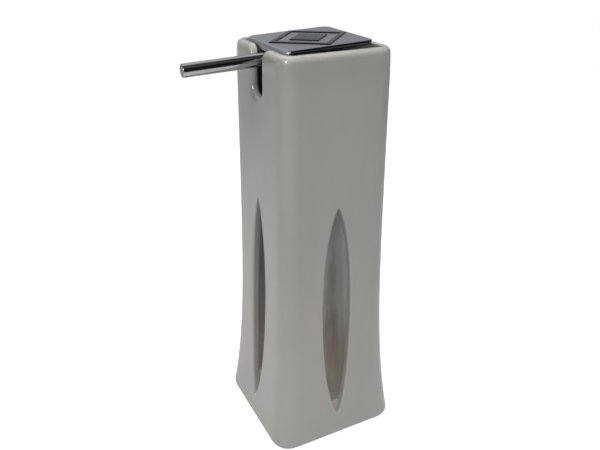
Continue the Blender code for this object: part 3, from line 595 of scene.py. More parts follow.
def window_band():
    """Wall of a leaf window: the leaf edge, carried through the sleeve's wall along its edge profile."""
    depth, setback = edge_profile(WINDOW_OUTER_RADIUS, WINDOW_INNER_RADIUS)
    level, across = leaf_edge(setback)
    return np.stack((sleeve_half(level) - depth, across, level), axis=-1)


def slot_band():
    """Wall of half the slot: foot, side and mouth, each point set back along the edge profile.

    Round the mouth the edge radii turn from the slot's own into the rim's.
    """
    blend = slot_blend()
    depth, setback = edge_profile(SLOT_OUTER_RADIUS + (RIM_OUTER_RADIUS - SLOT_OUTER_RADIUS) * blend,
                                  SLOT_INNER_RADIUS + (RIM_INNER_RADIUS - SLOT_INNER_RADIUS) * blend)
    across, level = slot_edge(setback)
    return np.stack((sleeve_half(level) - depth, across, level), axis=-1)


def rim_band(start):
    """Rounded rim above half a side and half a corner: the edge profile at every column."""
    depth, setback = edge_profile(RIM_OUTER_RADIUS, RIM_INNER_RADIUS)
    return octant_columns(SLEEVE_HEIGHT - setback[0], depth[0], np.full(depth.size, start))


def wall_skin(depth, setback, has_slot):
    """Outer or inner face of half a side and half a corner, with its edges left open."""
    level, leaf, slot = wall_rows(setback)
    return octant_columns(level, depth, leaf + (slot if has_slot else 0))


def underside():
    """Flat underside shrinking to its centre, and the rounded foot: a quarter circle."""
    turn = np.linspace(math.pi / 2, 0, EDGE_STEPS + 1)
    foot = octant_columns(FOOT_RADIUS * (1 - np.sin(turn)), FOOT_RADIUS * (1 - np.cos(turn)), 0)
    return np.concatenate((foot[:1] * UNDERSIDE_SHARES[:, None, None], foot))


def cavity_floor():
    """Rounded foot of the inner wall, a quarter circle, then the floor shrinking to its centre."""
    turn = np.linspace(0, math.pi / 2, EDGE_STEPS + 1)
    bend = octant_columns(SLEEVE_FLOOR + CAVITY_RADIUS * (1 - np.sin(turn)),
                          SLEEVE_WALL + CAVITY_RADIUS * (1 - np.cos(turn)), 0)
    shares = CAVITY_FLOOR_SHARES
    flat = bend[-1:] * np.column_stack((shares, shares, np.ones(shares.size)))[:, None, :]
    return np.concatenate((bend, flat))


def sleeve_octant(has_slot):
    """Patches of half a side and half a corner, each with its shares on an edge and inside, and the fade of
    its painted light.

    Across an edge's band the share on the edge is the squared sine of half a turn, and the share
    inside grows over its inner half. The fade says how much the painted light inside, a pale tone
    strongest on the floor, fades upwards, which it does on the inner wall and the floor but not in
    the windows' own walls.
    """
    outer = {"leaf": WINDOW_OUTER_RADIUS * EDGE_REACH, "rim": RIM_OUTER_RADIUS * EDGE_REACH,
             "slot": SLOT_OUTER_RADIUS * EDGE_REACH, "low": FOOT_RADIUS}
    inner = {"leaf": WINDOW_INNER_RADIUS * EDGE_REACH, "rim": RIM_INNER_RADIUS * EDGE_REACH,
             "slot": SLOT_INNER_RADIUS * EDGE_REACH, "low": SLEEVE_FLOOR + CAVITY_RADIUS}
    share = np.linspace(0, 1, 2 * EDGE_STEPS + 2)
    crest, within = EDGE_THINNING * np.sin(math.pi * share) ** 2, smooth(2 * share - 1)
    rim_start = SLOT_HALF + SLOT_MOUTH_RADIUS if has_slot else 0
    made = [(wall_skin(0, outer, has_slot), 0, 0, 0),
            (wall_skin(SLEEVE_WALL, inner, has_slot), 0, 1, PAINTED_LIGHT_FADE),
            (window_band(), crest, within, 0),
            (rim_band(rim_start), crest[:, None], within[:, None], 0),
            (underside(), 0, 0, 0),
            (cavity_floor(), 0, 1, PAINTED_LIGHT_FADE)]
    if has_slot:
        made.append((slot_band(), crest, within, 0))
    return made


def glaze_zones(patch, edge, within, light_fade):
    """Shares of a patch's points on edges, on bare clay, in the pale inside and in the dark upper inside.

    The pale inside is painted light: it is strongest on the floor, fades upwards and ends above the
    windows. From there the wall stays dark, a painted shade, up to just below the rim. The bare clay
    is a square ring on the underside.
    """
    level = patch[..., 2]
    reach = np.max(np.abs(patch[..., :2]), axis=-1) / (SLEEVE_BASE_HALF - FOOT_RADIUS)
    ring_start, ring_end = FOOT_RING_SHARES
    ring = (reach > ring_start - FOOT_RING_SPARE_SHARE) & (reach < ring_end + FOOT_RING_SPARE_SHARE)
    # Painted light: the pale inside tone, fading upwards from the floor
    painted_light = 1 - light_fade * smooth(level / PAINTED_LIGHT_LEVEL)
    # Painted shade on the upper inner wall, fading out just below the rim
    high = smooth((level - SHADE_LEVEL) / SHADE_SPREAD)
    below_rim = smooth((SLEEVE_HEIGHT - level) / RIM_SHADE_DEPTH - RIM_SHADE_START_SHARE)
    return {"edge": np.broadcast_to(edge, level.shape).astype(float),
            "bare": (ring & (level < WELD)).astype(float),
            "inside": within * painted_light * (1 - high),
            "upper_painted_shade": within * high * below_rim}


def ceramic_sleeve():
    """Glazed sleeve with rounded leaf windows, slot, rim and foot: an octant, mirrored and turned."""
    patches, zones = [], []
    for quarter in range(4):
        turn = Matrix.Rotation(math.pi / 2 * quarter, 4, "Z")
        octant = sleeve_octant(has_slot=quarter == 3)
        for mirror in (1, -1):
            patches += [moved(patch * (1, mirror, 1), turn) for patch, *shares in octant]
            zones += [glaze_zones(patch, *shares) for patch, *shares in octant]
    values = {label: [zone[label] for zone in zones] for label in zones[0]}
    return piece("sleeve", patches, "sleeve", glaze(), "ceramic_sleeve", values=values)


# Bottle and its closure

def thread_height(x, y, z, low, high, phase):
    """Ridge 1 - (d / half width)^2 high, d from the helix z = pitch (turn + whole), faded at both ends."""
    turn = np.arctan2(y, x) / math.tau + phase
    offset = (z / THREAD_PITCH - turn + 0.5) % 1 - 0.5
    ridge = np.clip(1 - (offset * THREAD_PITCH / THREAD_HALF_WIDTH) ** 2, 0, 1)
    fade = smooth((z - low) / THREAD_PITCH) * smooth((high - z) / THREAD_PITCH)
    return ridge * fade


def bottle_sections(inset, neck, foot_level, neck_top):
    """Half width, corner and level of each ring from the foot's centre to the neck.

    The push-up and the foot's rounding are a smooth step and a quarter circle. Over the shoulder
    the half width goes from body to neck with the cosine and the level with the sine of a quarter
    turn, and the corner grows with the square of the turn until the ring is round.
    """
    half, corner = BOTTLE_HALF - inset, BOTTLE_CORNER - inset
    base = foot_level + inset
    crown = PUSH_UP_HALF - PUSH_UP_RISE
    rows = [(crown * u, crown * u, base + PUSH_UP_RISE) for u in (0, PUSH_UP_FLAT_SHARE, 1)]
    rows += [(crown + PUSH_UP_RISE * u, crown + PUSH_UP_RISE * u, base + PUSH_UP_RISE * (1 - smooth(u)))
             for u in np.linspace(0, 1, PUSH_UP_STEPS)[1:]]
    radius = BOTTLE_FOOT_RADIUS - inset / 2
    for turn in np.linspace(0, math.pi / 2, BOTTLE_FOOT_STEPS):
        out = radius * (math.sin(turn) - 1)
        rows.append((half + out, corner + out / 2, base + radius * (1 - math.cos(turn))))
    shoulder = neck_top - NECK_HEIGHT - SHOULDER_HEIGHT - inset
    wall_foot = base + radius
    rows += [(half, corner, wall_foot + (shoulder - wall_foot) * u)
             for u in np.linspace(0, 1, BODY_STEPS)[1:-1]]
    for u in np.linspace(0, 1, SHOULDER_STEPS):
        width = neck + (half - neck) * math.cos(math.pi / 2 * u)
        level = shoulder + SHOULDER_HEIGHT * math.sin(math.pi / 2 * u)
        rows.append((width, corner + (width - corner) * u ** 2, level))
    return rows


def bottle():
    """Clear square bottle: wall, push-up, rounded shoulders, bead and threaded neck.

    The bead swells with a power of the cosine over half a turn. The lip is half a circle whose
    cosine and sine are raised to a power each, which flattens it.
    """
    foot_level, neck_top = low_of("bottle"), high_of("bottle")
    lip_level = neck_top - NECK_LIP
    bead = neck_top - NECK_HEIGHT + NECK_BEAD_HEIGHT
    thread_low, thread_high = bead + NECK_BEAD_HEIGHT, lip_level - NECK_LIP
    outer = bottle_sections(0, NECK_RADIUS, foot_level, neck_top)
    turn = np.linspace(-math.pi / 2, math.pi / 2, BEAD_STEPS)
    swell = NECK_RADIUS + (NECK_BEAD_RADIUS - NECK_RADIUS) * np.cos(turn) ** NECK_BEAD_POWER
    outer += zip(swell, swell, bead + NECK_BEAD_HEIGHT / 2 * (1 + np.sin(turn)))
    outer += [(NECK_RADIUS, NECK_RADIUS, level)
              for level in np.linspace(thread_low, lip_level, THREAD_STEPS)[1:]]
    lip = np.linspace(0, math.pi, LIP_STEPS)[1:-1]
    middle, thick = (NECK_RADIUS + NECK_BORE_RADIUS) / 2, (NECK_RADIUS - NECK_BORE_RADIUS) / 2
    width = middle + thick * np.sign(np.cos(lip)) * np.abs(np.cos(lip)) ** NECK_LIP_POWERS[0]
    outer += zip(width, width, lip_level + NECK_LIP * np.sin(lip) ** NECK_LIP_POWERS[1])
    inner = bottle_sections(BOTTLE_WALL, NECK_BORE_RADIUS, foot_level, neck_top)
    inner.append((NECK_BORE_RADIUS, NECK_BORE_RADIUS, lip_level))
    half, corner, level = np.array(outer + inner[::-1]).T
    points = rounded_rings(half, half, corner, level, BOTTLE_CORNER_STEPS)
    radius = np.hypot(points[..., 0], points[..., 1])
    rise = thread_height(*np.moveaxis(points, -1, 0), thread_low, thread_high, 0)
    on_neck = (np.abs(radius - NECK_RADIUS) < WELD) & (points[..., 2] > thread_low)
    points[..., :2] *= 1 + (on_neck * rise * THREAD_RISE / NECK_RADIUS)[..., None]
    return piece("refill_bottle", [points], "bottle", clear_plastic(), "bottle")


def screw_collar():
    """Ribbed collar: a ring whose outer wall dips between ribs and whose skirt carries the thread.

    The dip is half of one minus the cosine of the angle times the number of ribs, faded at both ends.
    """
    low, top, outer = low_of("screw_collar"), high_of("screw_collar"), width_of("screw_collar") / 2
    web = top - COLLAR_WEB
    thread_low, thread_high = low + COLLAR_THREAD_INSET, web - COLLAR_THREAD_INSET
    skirt = [(COLLAR_SKIRT_RADIUS, level)
             for level in np.linspace(thread_high, thread_low, COLLAR_SKIRT_STEPS)]
    wall = [(outer, level)
            for level in np.linspace(low + COLLAR_RIB_FADE, top - COLLAR_RIB_FADE, COLLAR_WALL_STEPS)]
    bends = softened([(outer, low), (outer, top), (COLLAR_HOLE_RADIUS, top), (COLLAR_HOLE_RADIUS, web),
                      (COLLAR_SKIRT_RADIUS, web), (COLLAR_SKIRT_RADIUS, low)], COLLAR_EDGE)
    first, last = CORNER_POINTS, 5 * CORNER_POINTS
    points = turned([*bends[:first], *wall, *bends[first:last], *skirt, *bends[last:]], FINE_STEPS)
    x, y, z = np.moveaxis(points, -1, 0)
    radius, angle = np.hypot(x, y), np.arctan2(y, x)
    fade = smooth((z - low) / COLLAR_RIB_FADE) * smooth((top - z - COLLAR_EDGE) / COLLAR_RIB_TOP_FADE)
    dip = (0.5 - 0.5 * np.cos(COLLAR_RIBS * angle)) * COLLAR_RIB_DEPTH * fade * (radius > outer - WELD)
    ridge = thread_height(x, y, z, thread_low, thread_high, COLLAR_THREAD_TURN)
    ridge = ridge * (COLLAR_SKIRT_RADIUS - COLLAR_THREAD_RADIUS)
    ridge = ridge * (np.abs(radius - COLLAR_SKIRT_RADIUS) < WELD)
    points[..., :2] *= (1 - (dip + ridge) / radius)[..., None]
    return piece("collar", [points], "collar", white_plastic(), "screw_collar")


def neck_gasket():
    """Foamed washer: a rounded square profile turned about the axis."""
    low, high, outer = low_of("neck_gasket"), high_of("neck_gasket"), width_of("neck_gasket") / 2
    inner = GASKET_BORE_RADIUS
    profile = softened([(outer, low), (outer, high), (inner, high), (inner, low)], GASKET_EDGE)
    return piece("gasket", [turned(profile)], "pump", seal_rubber(), "neck_gasket")


# Pump

def pump_cylinder():
    """Housing: flange, long bore, ball chamber with its conical seat, and socket for the dip tube."""
    top = high_of("pump_cylinder")
    base = low_of("pump_cylinder")
    socket_top = base + SOCKET_DEPTH
    chamber_floor = socket_top + SEAT_HEIGHT
    bore_floor = chamber_floor + CHAMBER_HEIGHT
    flange_base = bore_floor + CYLINDER_DEPTH
    valve = CHAMBER_RADIUS + VALVE_WALL
    flange = width_of("pump_cylinder") / 2
    profile = [
        (SOCKET_RADIUS, base),
        (SOCKET_RADIUS + SOCKET_WALL, base),
        (SOCKET_RADIUS + SOCKET_WALL, socket_top - SEAT_HEIGHT),
        (valve, chamber_floor),
        (valve, bore_floor - VALVE_WALL),
        (CYLINDER_RADIUS, bore_floor),
        (CYLINDER_RADIUS, flange_base),
        (flange, flange_base),
        (flange, flange_base + CYLINDER_FLANGE),
        (CYLINDER_RADIUS, flange_base + CYLINDER_FLANGE),
        (CYLINDER_RADIUS, top),
        (CYLINDER_BORE_RADIUS, top),
        (CYLINDER_BORE_RADIUS, bore_floor),
        (CHAMBER_RADIUS, bore_floor),
        (CHAMBER_RADIUS, chamber_floor + CHAMBER_RADIUS - SEAT_RADIUS),
        (SEAT_RADIUS, chamber_floor),
        (SEAT_RADIUS, socket_top),
        (SOCKET_RADIUS, socket_top),
    ]
    wall = turned(softened(profile, CYLINDER_EDGE))
    return piece("pump_housing", [wall], "pump", milky_plastic(), "pump_cylinder")


def cylinder_cap():
    """Guide bush over the collar's web and down the bore."""
    foot, top = low_of("cylinder_cap"), high_of("cylinder_cap")
    stem, bore = STEM_RADIUS + RUN_FIT, CYLINDER_BORE_RADIUS - LOOSE_FIT
    flange = width_of("cylinder_cap") / 2
    profile = [(stem, foot), (bore, foot), (bore, top - CAP_FLANGE), (flange, top - CAP_FLANGE),
               (flange, top), (stem, top)]
    wall = turned(softened(profile, CAP_EDGE))
    return piece("guide_bush", [wall], "pump", white_plastic(), "cylinder_cap")


def stem():
    """Hollow stem with a shoulder, a ball pocket on top and the plunger's socket below."""
    base, top = low_of("stem"), high_of("stem")
    shoulder = width_of("stem") / 2
    shoulder_base = low_of("cylinder_cap") - LOOSE_FIT - STEM_SHOULDER_HEIGHT
    pocket_floor = top - STEM_POCKET_DEPTH
    profile = [
        (STEM_SOCKET_RADIUS, base),
        (STEM_RADIUS, base),
        (STEM_RADIUS, shoulder_base),
        (shoulder, shoulder_base),
        (shoulder, shoulder_base + STEM_SHOULDER_HEIGHT),
        (STEM_RADIUS, shoulder_base + STEM_SHOULDER_HEIGHT),
        (STEM_RADIUS, top),
        (STEM_POCKET_RADIUS, top),
        (STEM_POCKET_RADIUS, pocket_floor + STEM_POCKET_RADIUS - STEM_BORE_RADIUS),
        (STEM_BORE_RADIUS, pocket_floor),
        (STEM_BORE_RADIUS, base + STEM_SOCKET_DEPTH),
        (STEM_SOCKET_RADIUS, base + STEM_SOCKET_DEPTH),
    ]
    wall = turned(softened(profile, STEM_EDGE))
    return piece("hollow_stem", [wall], "head", white_plastic(), "stem")


def piston_seal():
    """Seal with a rounded waist between two thin lips."""
    base, top = low_of("piston_seal"), high_of("piston_seal")
    lip, inner = CYLINDER_BORE_RADIUS - RUN_FIT, STEM_RADIUS + RUN_FIT
    waist = PISTON_WAIST_RADIUS
    profile = [(inner, base), (lip, base), (lip, base + PISTON_LIP / 2), (waist, base + 1.5 * PISTON_LIP),
               (waist, top - 1.5 * PISTON_LIP), (lip, top - PISTON_LIP / 2), (lip, top), (inner, top)]
    wall = turned(softened(profile, PISTON_EDGE))
    return piece("piston", [wall], "piston", milky_plastic(), "piston_seal")


def plunger():
    """Head and pilot turned about the axis, and a cross-ribbed shank up the stem."""
    top = high_of("plunger")
    head_top = low_of("stem") - LOOSE_FIT
    head_base = head_top - PLUNGER_HEAD_HEIGHT
    pilot_base = head_base - PLUNGER_PILOT_HEIGHT
    corners = [(0, pilot_base), (PLUNGER_PILOT_RADIUS, pilot_base), (PLUNGER_PILOT_RADIUS, head_base),
               (PLUNGER_HEAD_RADIUS, head_base), (PLUNGER_HEAD_RADIUS, head_top), (0, head_top)]
    far, near = STEM_SOCKET_RADIUS - LOOSE_FIT, PLUNGER_RIB / 2
    quarter = np.array([(far, -near), (far, near), (near, near)])
    outline = np.concatenate([quarter @ rotation(n) for n in range(4)] + [quarter[:1]])
    ends = ((0, head_base), (1, head_base), (1, top), (0, top))
    shank = np.stack([np.column_stack((outline * share, np.full(len(outline), level)))
                      for share, level in ends])
    head = turned(softened(corners, PLUNGER_EDGE, closed=False))
    return piece("plunger_plug", [head, shank], "head", white_plastic(), "plunger", sharp=SHARP_ANGLE)


def return_spring():
    """Coil: a small circle carried along a helix whose first and last turn lie flat.

    The climb per turn is a wire's thickness at both ends, and even in between. The wire shrinks
    to a point at each end.
    """
    foot, crown = low_of("return_spring"), high_of("return_spring")
    low, high = foot + SPRING_WIRE_RADIUS, crown - SPRING_WIRE_RADIUS
    turns = np.linspace(0, SPRING_TURNS, SPRING_TURNS * SPRING_STEPS + 1)
    climb = np.interp(turns, (0, 1, SPRING_TURNS - 1, SPRING_TURNS),
                      (low, low + SPRING_END_CLIMB, high - SPRING_END_CLIMB, high))
    angle, around = math.tau * turns[:, None], np.linspace(0, math.tau, SPRING_WIRE_STEPS + 1)
    wire = np.full(turns.size, SPRING_WIRE_RADIUS)
    wire[[0, -1]] = 0
    radius = SPRING_RADIUS + wire[:, None] * np.cos(around)
    level = climb[:, None] + wire[:, None] * np.sin(around)
    points = np.stack((radius * np.cos(angle), radius * np.sin(angle), level), axis=-1)
    spring = piece("coil_spring", [points], "pump", spring_steel(), "return_spring")
    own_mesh(spring)
    return spring


def ball_retainer():
    """Disc with a cross-shaped port: its bore is the larger of two rectangles' polar radii."""
    low, high, outer = low_of("ball_retainer"), high_of("ball_retainer"), width_of("ball_retainer") / 2
    angle = np.linspace(0, math.tau, FINE_STEPS + 1)
    across, along = np.abs(np.cos(angle)) + WELD, np.abs(np.sin(angle)) + WELD
    port = np.maximum(np.minimum(PORT_HALF_LENGTH / across, PORT_HALF_WIDTH / along),
                      np.minimum(PORT_HALF_WIDTH / across, PORT_HALF_LENGTH / along))
    radii = np.stack([np.full(angle.size, outer)] * 2 + [port] * 2 + [np.full(angle.size, outer)])
    levels = np.array([low, high, high, low, low])[:, None] + 0 * radii
    points = np.stack((radii * np.cos(angle), radii * np.sin(angle), levels), axis=-1)
    return piece("spring_seat", [points], "pump", white_plastic(), "ball_retainer", sharp=SHARP_ANGLE)


def check_ball(name, node, body):
    """Sphere: half a circle turned about the axis."""
    centre, radius = (low_of(node) + high_of(node)) / 2, (high_of(node) - low_of(node)) / 2
    turn = np.linspace(0, math.pi, BALL_STEPS)
    profile = np.column_stack((radius * np.sin(turn), centre - radius * np.cos(turn)))
    return piece(name, [turned(profile, SMALL_STEPS)], body, spring_steel(), node)


def dip_tube():
    """Tube whose foot rises with x, so that it can't stand flat on the bottle's floor."""
    top, foot = high_of("dip_tube"), low_of("dip_tube")
    outer, inner, even = DIP_TUBE_RADIUS, DIP_TUBE_BORE_RADIUS, foot + DIP_TUBE_FOOT
    profile = [(outer, foot), (outer, even), (outer, top), (inner, top), (inner, even), (inner, foot),
               (outer, foot)]
    points = turned(profile, SMALL_STEPS)
    at_foot = points[..., 2] < foot + WELD
    points[..., 2] += at_foot * (outer + points[..., 0]) * DIP_TUBE_SLANT_SHARE
    return piece("suction_tube", [points], "pump", milky_plastic(), "dip_tube", sharp=SHARP_ANGLE)


# Head

def actuator_hub():
    """Body open below for the stem, boss and spout snout turned about their axes, and a flat eared flange.

    The ears are a disc whose two halves are moved apart along X.
    """
    low, top = -SPOUT_RADIUS - HUB_CHAMBER, SPOUT_RADIUS + HUB_ROOF
    socket, bore = STEM_RADIUS + RUN_FIT, SPOUT_RADIUS + LOOSE_FIT
    hole = socket + LOOSE_FIT
    body = turned(softened([(0, HUB_CEILING), (hole, HUB_CEILING), (hole, low), (HUB_RADIUS, low),
                            (HUB_RADIUS, top), (0, top)], HUB_EDGE, closed=False))
    foot = low_of("actuator_hub")
    boss = turned(softened([(socket, foot), (HUB_BOSS_RADIUS, foot), (HUB_BOSS_RADIUS, SPOUT_LEVEL),
                            (socket, SPOUT_LEVEL)], HUB_BOSS_EDGE))
    snout = turned(softened([(bore, HUB_SNOUT_START), (HUB_SNOUT_RADIUS, HUB_SNOUT_START),
                             (HUB_SNOUT_RADIUS, HUB_SNOUT_REACH), (bore, HUB_SNOUT_REACH)], HUB_SNOUT_EDGE))
    ear_base = SPOUT_RADIUS - EAR_THICKNESS
    ears = turned(softened([(0, ear_base), (EAR_HALF_WIDTH, ear_base), (EAR_HALF_WIDTH, SPOUT_RADIUS),
                            (0, SPOUT_RADIUS)], EAR_EDGE, closed=False))
    apart = np.sign(ears[..., 0]) * (np.abs(ears[..., 0]) > WELD)
    ears[..., 0] += apart * (EAR_HALF_LENGTH - EAR_HALF_WIDTH)
    patches = [moved(body, HEAD), boss, moved(snout, SPOUT), moved(ears, HEAD)]
    return piece("hub", patches, "head", white_plastic(), "actuator_hub")


def outlet_wall(radius, centre):
    """Square window of a tube's wall with a round hole in it, as a grid from the hole to the window.

    Ring k lies the share k/n of the way from the circle to the square of the same direction, and
    the place across is wrapped round the tube as across / radius.
    """
    turn = np.linspace(0, math.tau, OUTLET_STEPS + 1)
    square = OUTLET_WINDOW_HALF / np.maximum(np.abs(np.cos(turn)), np.abs(np.sin(turn)))
    distance = OUTLET_RADIUS + (square - OUTLET_RADIUS) * np.linspace(0, 1, OUTLET_RINGS)[:, None]
    lean = distance * np.cos(turn) / radius
    along = distance * np.sin(turn)
    return np.stack((radius * np.sin(lean), -radius * np.cos(lean), centre + along), axis=-1)


def spout_wall(radius, start, end, centre):
    """Tube wall in three lengths, the middle one open at the bottom for the outlet's window."""
    def sheet(lean, along):
        """Point at an angle from the bottom and a place along the tube."""
        lean, along = np.meshgrid(lean, along)
        return np.stack((radius * np.sin(lean), -radius * np.cos(lean), along), axis=-1)

    turn = np.linspace(0, math.tau, OUTLET_STEPS + 1)
    corner = np.tan(turn[turn <= math.pi / 4 + WELD])
    side = np.concatenate((-corner[:0:-1], corner)) * OUTLET_WINDOW_HALF
    open_lean = side / radius
    rest = np.linspace(open_lean[-1], math.tau + open_lean[0], SPOUT_ROUND_STEPS)
    whole = np.concatenate((open_lean[:-1], rest))
    before = np.linspace(start, centre - OUTLET_WINDOW_HALF, SPOUT_STEPS)
    after = np.linspace(centre + OUTLET_WINDOW_HALF, end, SPOUT_TIP_STEPS)
    return [sheet(whole, before), sheet(whole, after), sheet(rest, centre + side),
            outlet_wall(radius, centre)]


def spout_tube():
    """Straight tube with a round outlet in its underside, near the plugged end."""
    outer, inner = SPOUT_RADIUS, SPOUT_BORE_RADIUS
    start, end = SPOUT_INNER_END, SPOUT_REACH - PLUG_CAP
    centre = SPOUT_REACH - OUTLET_INSET
    skin, lining = spout_wall(outer, start, end, centre), spout_wall(inner, start, end, centre)
    hole = np.stack((outlet_wall(outer, centre)[0], outlet_wall(inner, centre)[0]))
    ends = [np.stack((skin[row][edge], lining[row][edge])) for row, edge in ((0, 0), (1, -1))]
    patches = [moved(patch, SPOUT) for patch in (*skin, *lining, hole, *ends)]
    return piece("spout", patches, "head", chrome(), "spout_tube", sharp=SHARP_ANGLE)


def spout_end_plug():
    """Flat cap with a softened edge, on a spigot that fills the tube's bore, turned about the axis."""
    shoulder, spigot = SPOUT_REACH - PLUG_CAP, SPOUT_BORE_RADIUS - LOOSE_FIT
    foot = shoulder - PLUG_SPIGOT
    face = softened([(SPOUT_RADIUS, shoulder), (SPOUT_RADIUS, SPOUT_REACH), (0, SPOUT_REACH)], PLUG_EDGE,
                    closed=False)
    cap = turned([(0, foot), (spigot, foot), (spigot, shoulder), *face])
    return piece("spout_plug", [moved(cap, SPOUT)], "head", chrome(), "spout_end_plug",
                 sharp=PLUG_SHARP_ANGLE)


def spout_o_ring():
    """Torus: a small circle at the ring's radius, turned about the spout's axis."""
    turn = np.linspace(0, math.tau, RING_STEPS + 1)
    radius = SPOUT_RADIUS + LOOSE_FIT + RING_WIRE_RADIUS
    level = HUB_SNOUT_REACH - RING_INSET
    profile = np.column_stack((radius + RING_WIRE_RADIUS * np.cos(turn),
                               level + RING_WIRE_RADIUS * np.sin(turn)))
    return piece("spout_seal", [moved(turned(profile), SPOUT)], "head", seal_rubber(), "spout_o_ring")


def plate_outline(inset):
    """Rounded square at an inset from the plate's edge, starting on the middle of the +X side."""
    half, corner = PLATE_HALF - inset, PLATE_CORNER - inset
    flat = half - corner
    side = PLATE_SIDE_SHARES * flat
    turn = np.linspace(0, math.pi / 2, PLATE_CORNER_STEPS)[1:-1]
    across = np.concatenate((side, flat + corner * np.sin(turn), np.full(side.size, half)))[:-1]
    out = np.concatenate((np.full(side.size, half), flat + corner * np.cos(turn), side[::-1]))[:-1]
    quarter = np.column_stack((out, across))
    ring = np.concatenate([quarter @ rotation(n) for n in range(4)])
    return np.concatenate((ring, ring[:1]))


def diamond_outline(half):
    """Points of |x| + |y| = half in the same directions as those of the plate's outline."""
    ring = plate_outline(0)
    return ring * (half / np.abs(ring).sum(axis=1))[:, None]


def crease_rows(half, sense):
    """Rows of one side of the relief from the middle out: foot, slope and softened crest.

    A side of sense 1 falls outwards and one of sense -1 inwards. The crest is a parabola between
    the slope and the flat, and a row just beyond each end of the slope keeps the flats flat.
    """
    slope = sense * RELIEF_SLOPE
    rows = softened([(half + slope, PLATE_TOP), (half, PLATE_TOP), (half - slope, RELIEF_TOP),
                     (half - 4 * slope, RELIEF_TOP)], RELIEF_CREST_EDGE, closed=False)
    return rows[1:-1][::-sense]


def relief_rows():
    """Half width and level of each diamond from the middle out: raised centre, groove and raised frame."""
    return [(0, RELIEF_TOP), (RELIEF_CENTRE / 2, RELIEF_TOP), *crease_rows(RELIEF_CENTRE, 1),
            ((RELIEF_CENTRE + RELIEF_INNER) / 2, PLATE_TOP), *crease_rows(RELIEF_INNER, -1),
            ((RELIEF_INNER + RELIEF_OUTER) / 2, RELIEF_TOP), *crease_rows(RELIEF_OUTER, 1)]


def plate_row(outline, level, polish, line):
    """Points of an outline at their level, with their shares of polish and of painted dark reflection beside
    them.
    """
    beside = (np.broadcast_to(value, len(outline)) for value in (level, polish, line))
    return np.column_stack((outline, *beside))


def plate_loft():
    """Rows from the plate's centre over relief, edge and underside to the centre again.

    On the relief a row is a diamond |x| + |y| = half, outside it a square with rounded corners. The
    rounded top edge is a quarter circle that grows towards the front, where it isn't polished.
    """
    rows = []
    for half, level in relief_rows():
        polished = half < RELIEF_CENTRE or RELIEF_INNER < half < RELIEF_OUTER
        # The relief's slopes get the dark line, a painted dark reflection
        sloping = PLATE_TOP + WELD < level < RELIEF_TOP - WELD
        rows.append(plate_row(diamond_outline(half), level, polished, sloping))
    border = plate_outline(0)
    outward = (border - plate_outline(PLATE_EDGE)) / PLATE_EDGE
    front = smooth(-outward[:, 1] / np.linalg.norm(outward, axis=1))
    growth = 1 + (PLATE_FRONT_EDGE / PLATE_EDGE - 1) * front
    turn = np.linspace(0, math.pi / 2, PLATE_EDGE_STEPS)
    inset = PLATE_EDGE * np.concatenate(([PLATE_REST], 1 - np.sin(turn)))
    drop = PLATE_EDGE * np.concatenate(([0], 1 - np.cos(turn)))
    for back, down in zip(inset, drop):
        # The polished edge gets the dark line too, a painted dark reflection
        polish = (1 - front) * (down > WELD)
        ring = border - outward * (back * growth)[:, None]
        rows.append(plate_row(ring, PLATE_TOP - down * growth, polish, EDGE_PAINTED_REFLECTION * polish))
    for back, up in PLATE_FOOT_SHARES:
        foot = plate_outline(PLATE_EDGE * back)
        rows.append(plate_row(foot, PLATE_BASE + PLATE_EDGE * up, 1 - front, EDGE_PAINTED_REFLECTION * (1 - front)))
    rows += [plate_row(foot * share, PLATE_BASE, 0, 0) for share in PLATE_UNDERSIDE_SHARES]
    return np.stack(rows)


def lug_rings():
    """Tapered lug over the spout: rounded rectangles, closed at foot and top.

    The half width shrinks in a straight line from the plate down to the foot, the front face keeps
    its place, and the foot's edge is a quarter circle.
    """
    foot, top = SPOUT_RADIUS + SPOUT_LIFT + LOOSE_FIT, PLATE_BASE + PLATE_EDGE
    turn = np.linspace(0, math.pi / 2, LUG_EDGE_STEPS)
    level = np.append(foot + PLATE_EDGE * (1 - np.cos(turn)), top)
    inset = np.append(PLATE_EDGE * (1 - np.sin(turn)), 0)
    across = LUG_FOOT_HALF + (LUG_TOP_HALF - LUG_FOOT_HALF) * (level - foot) / (top - foot)
    rings = rounded_rings(across - inset, LUG_DEPTH / 2 - inset, LUG_CORNER, level, LUG_CORNER_STEPS)
    ends = rings[[0, -1]] * (0, 0, 1)
    return np.concatenate((ends[:1], rings, ends[1:])) + (0, (LUG_DEPTH + PLATE_EDGE) / 2 - PLATE_HALF, 0)


def screw_place(side):
    """Place of the screw on one side of the spout, in the tilted head."""
    return HEAD @ Matrix.Translation((side * SCREW_SPACING / 2, 0, 0))


def press_plate():
    """Square plate with its relief, the lug over the spout, and a turned boss round each screw."""
    loft, middle = plate_loft(), HEAD @ Matrix.Translation((0, -PLATE_FORWARD, 0))
    hole, low, high = SCREW_RADIUS + LOOSE_FIT, SPOUT_RADIUS + LOOSE_FIT, PLATE_BASE + PLATE_EDGE
    boss = turned(softened([(PLATE_BOSS_RADIUS, low), (PLATE_BOSS_RADIUS, high), (hole, high),
                            (hole, low)], PLATE_BOSS_EDGE), SMALL_STEPS)
    patches = [moved(loft[..., :3], middle), moved(lug_rings(), middle),
               *(moved(boss, screw_place(side)) for side in (-1, 1))]
    plain = [np.zeros(patch.shape[:2]) for patch in patches[1:]]
    # The line attribute holds the painted dark reflection on slopes and edges
    values = {"polish": [loft[..., 3], *plain], "line": [loft[..., 4], *plain]}
    return piece("plate", patches, "head", plate_metal(), "press_plate", sharp=PLATE_SHARP_ANGLE,
                 values=values)


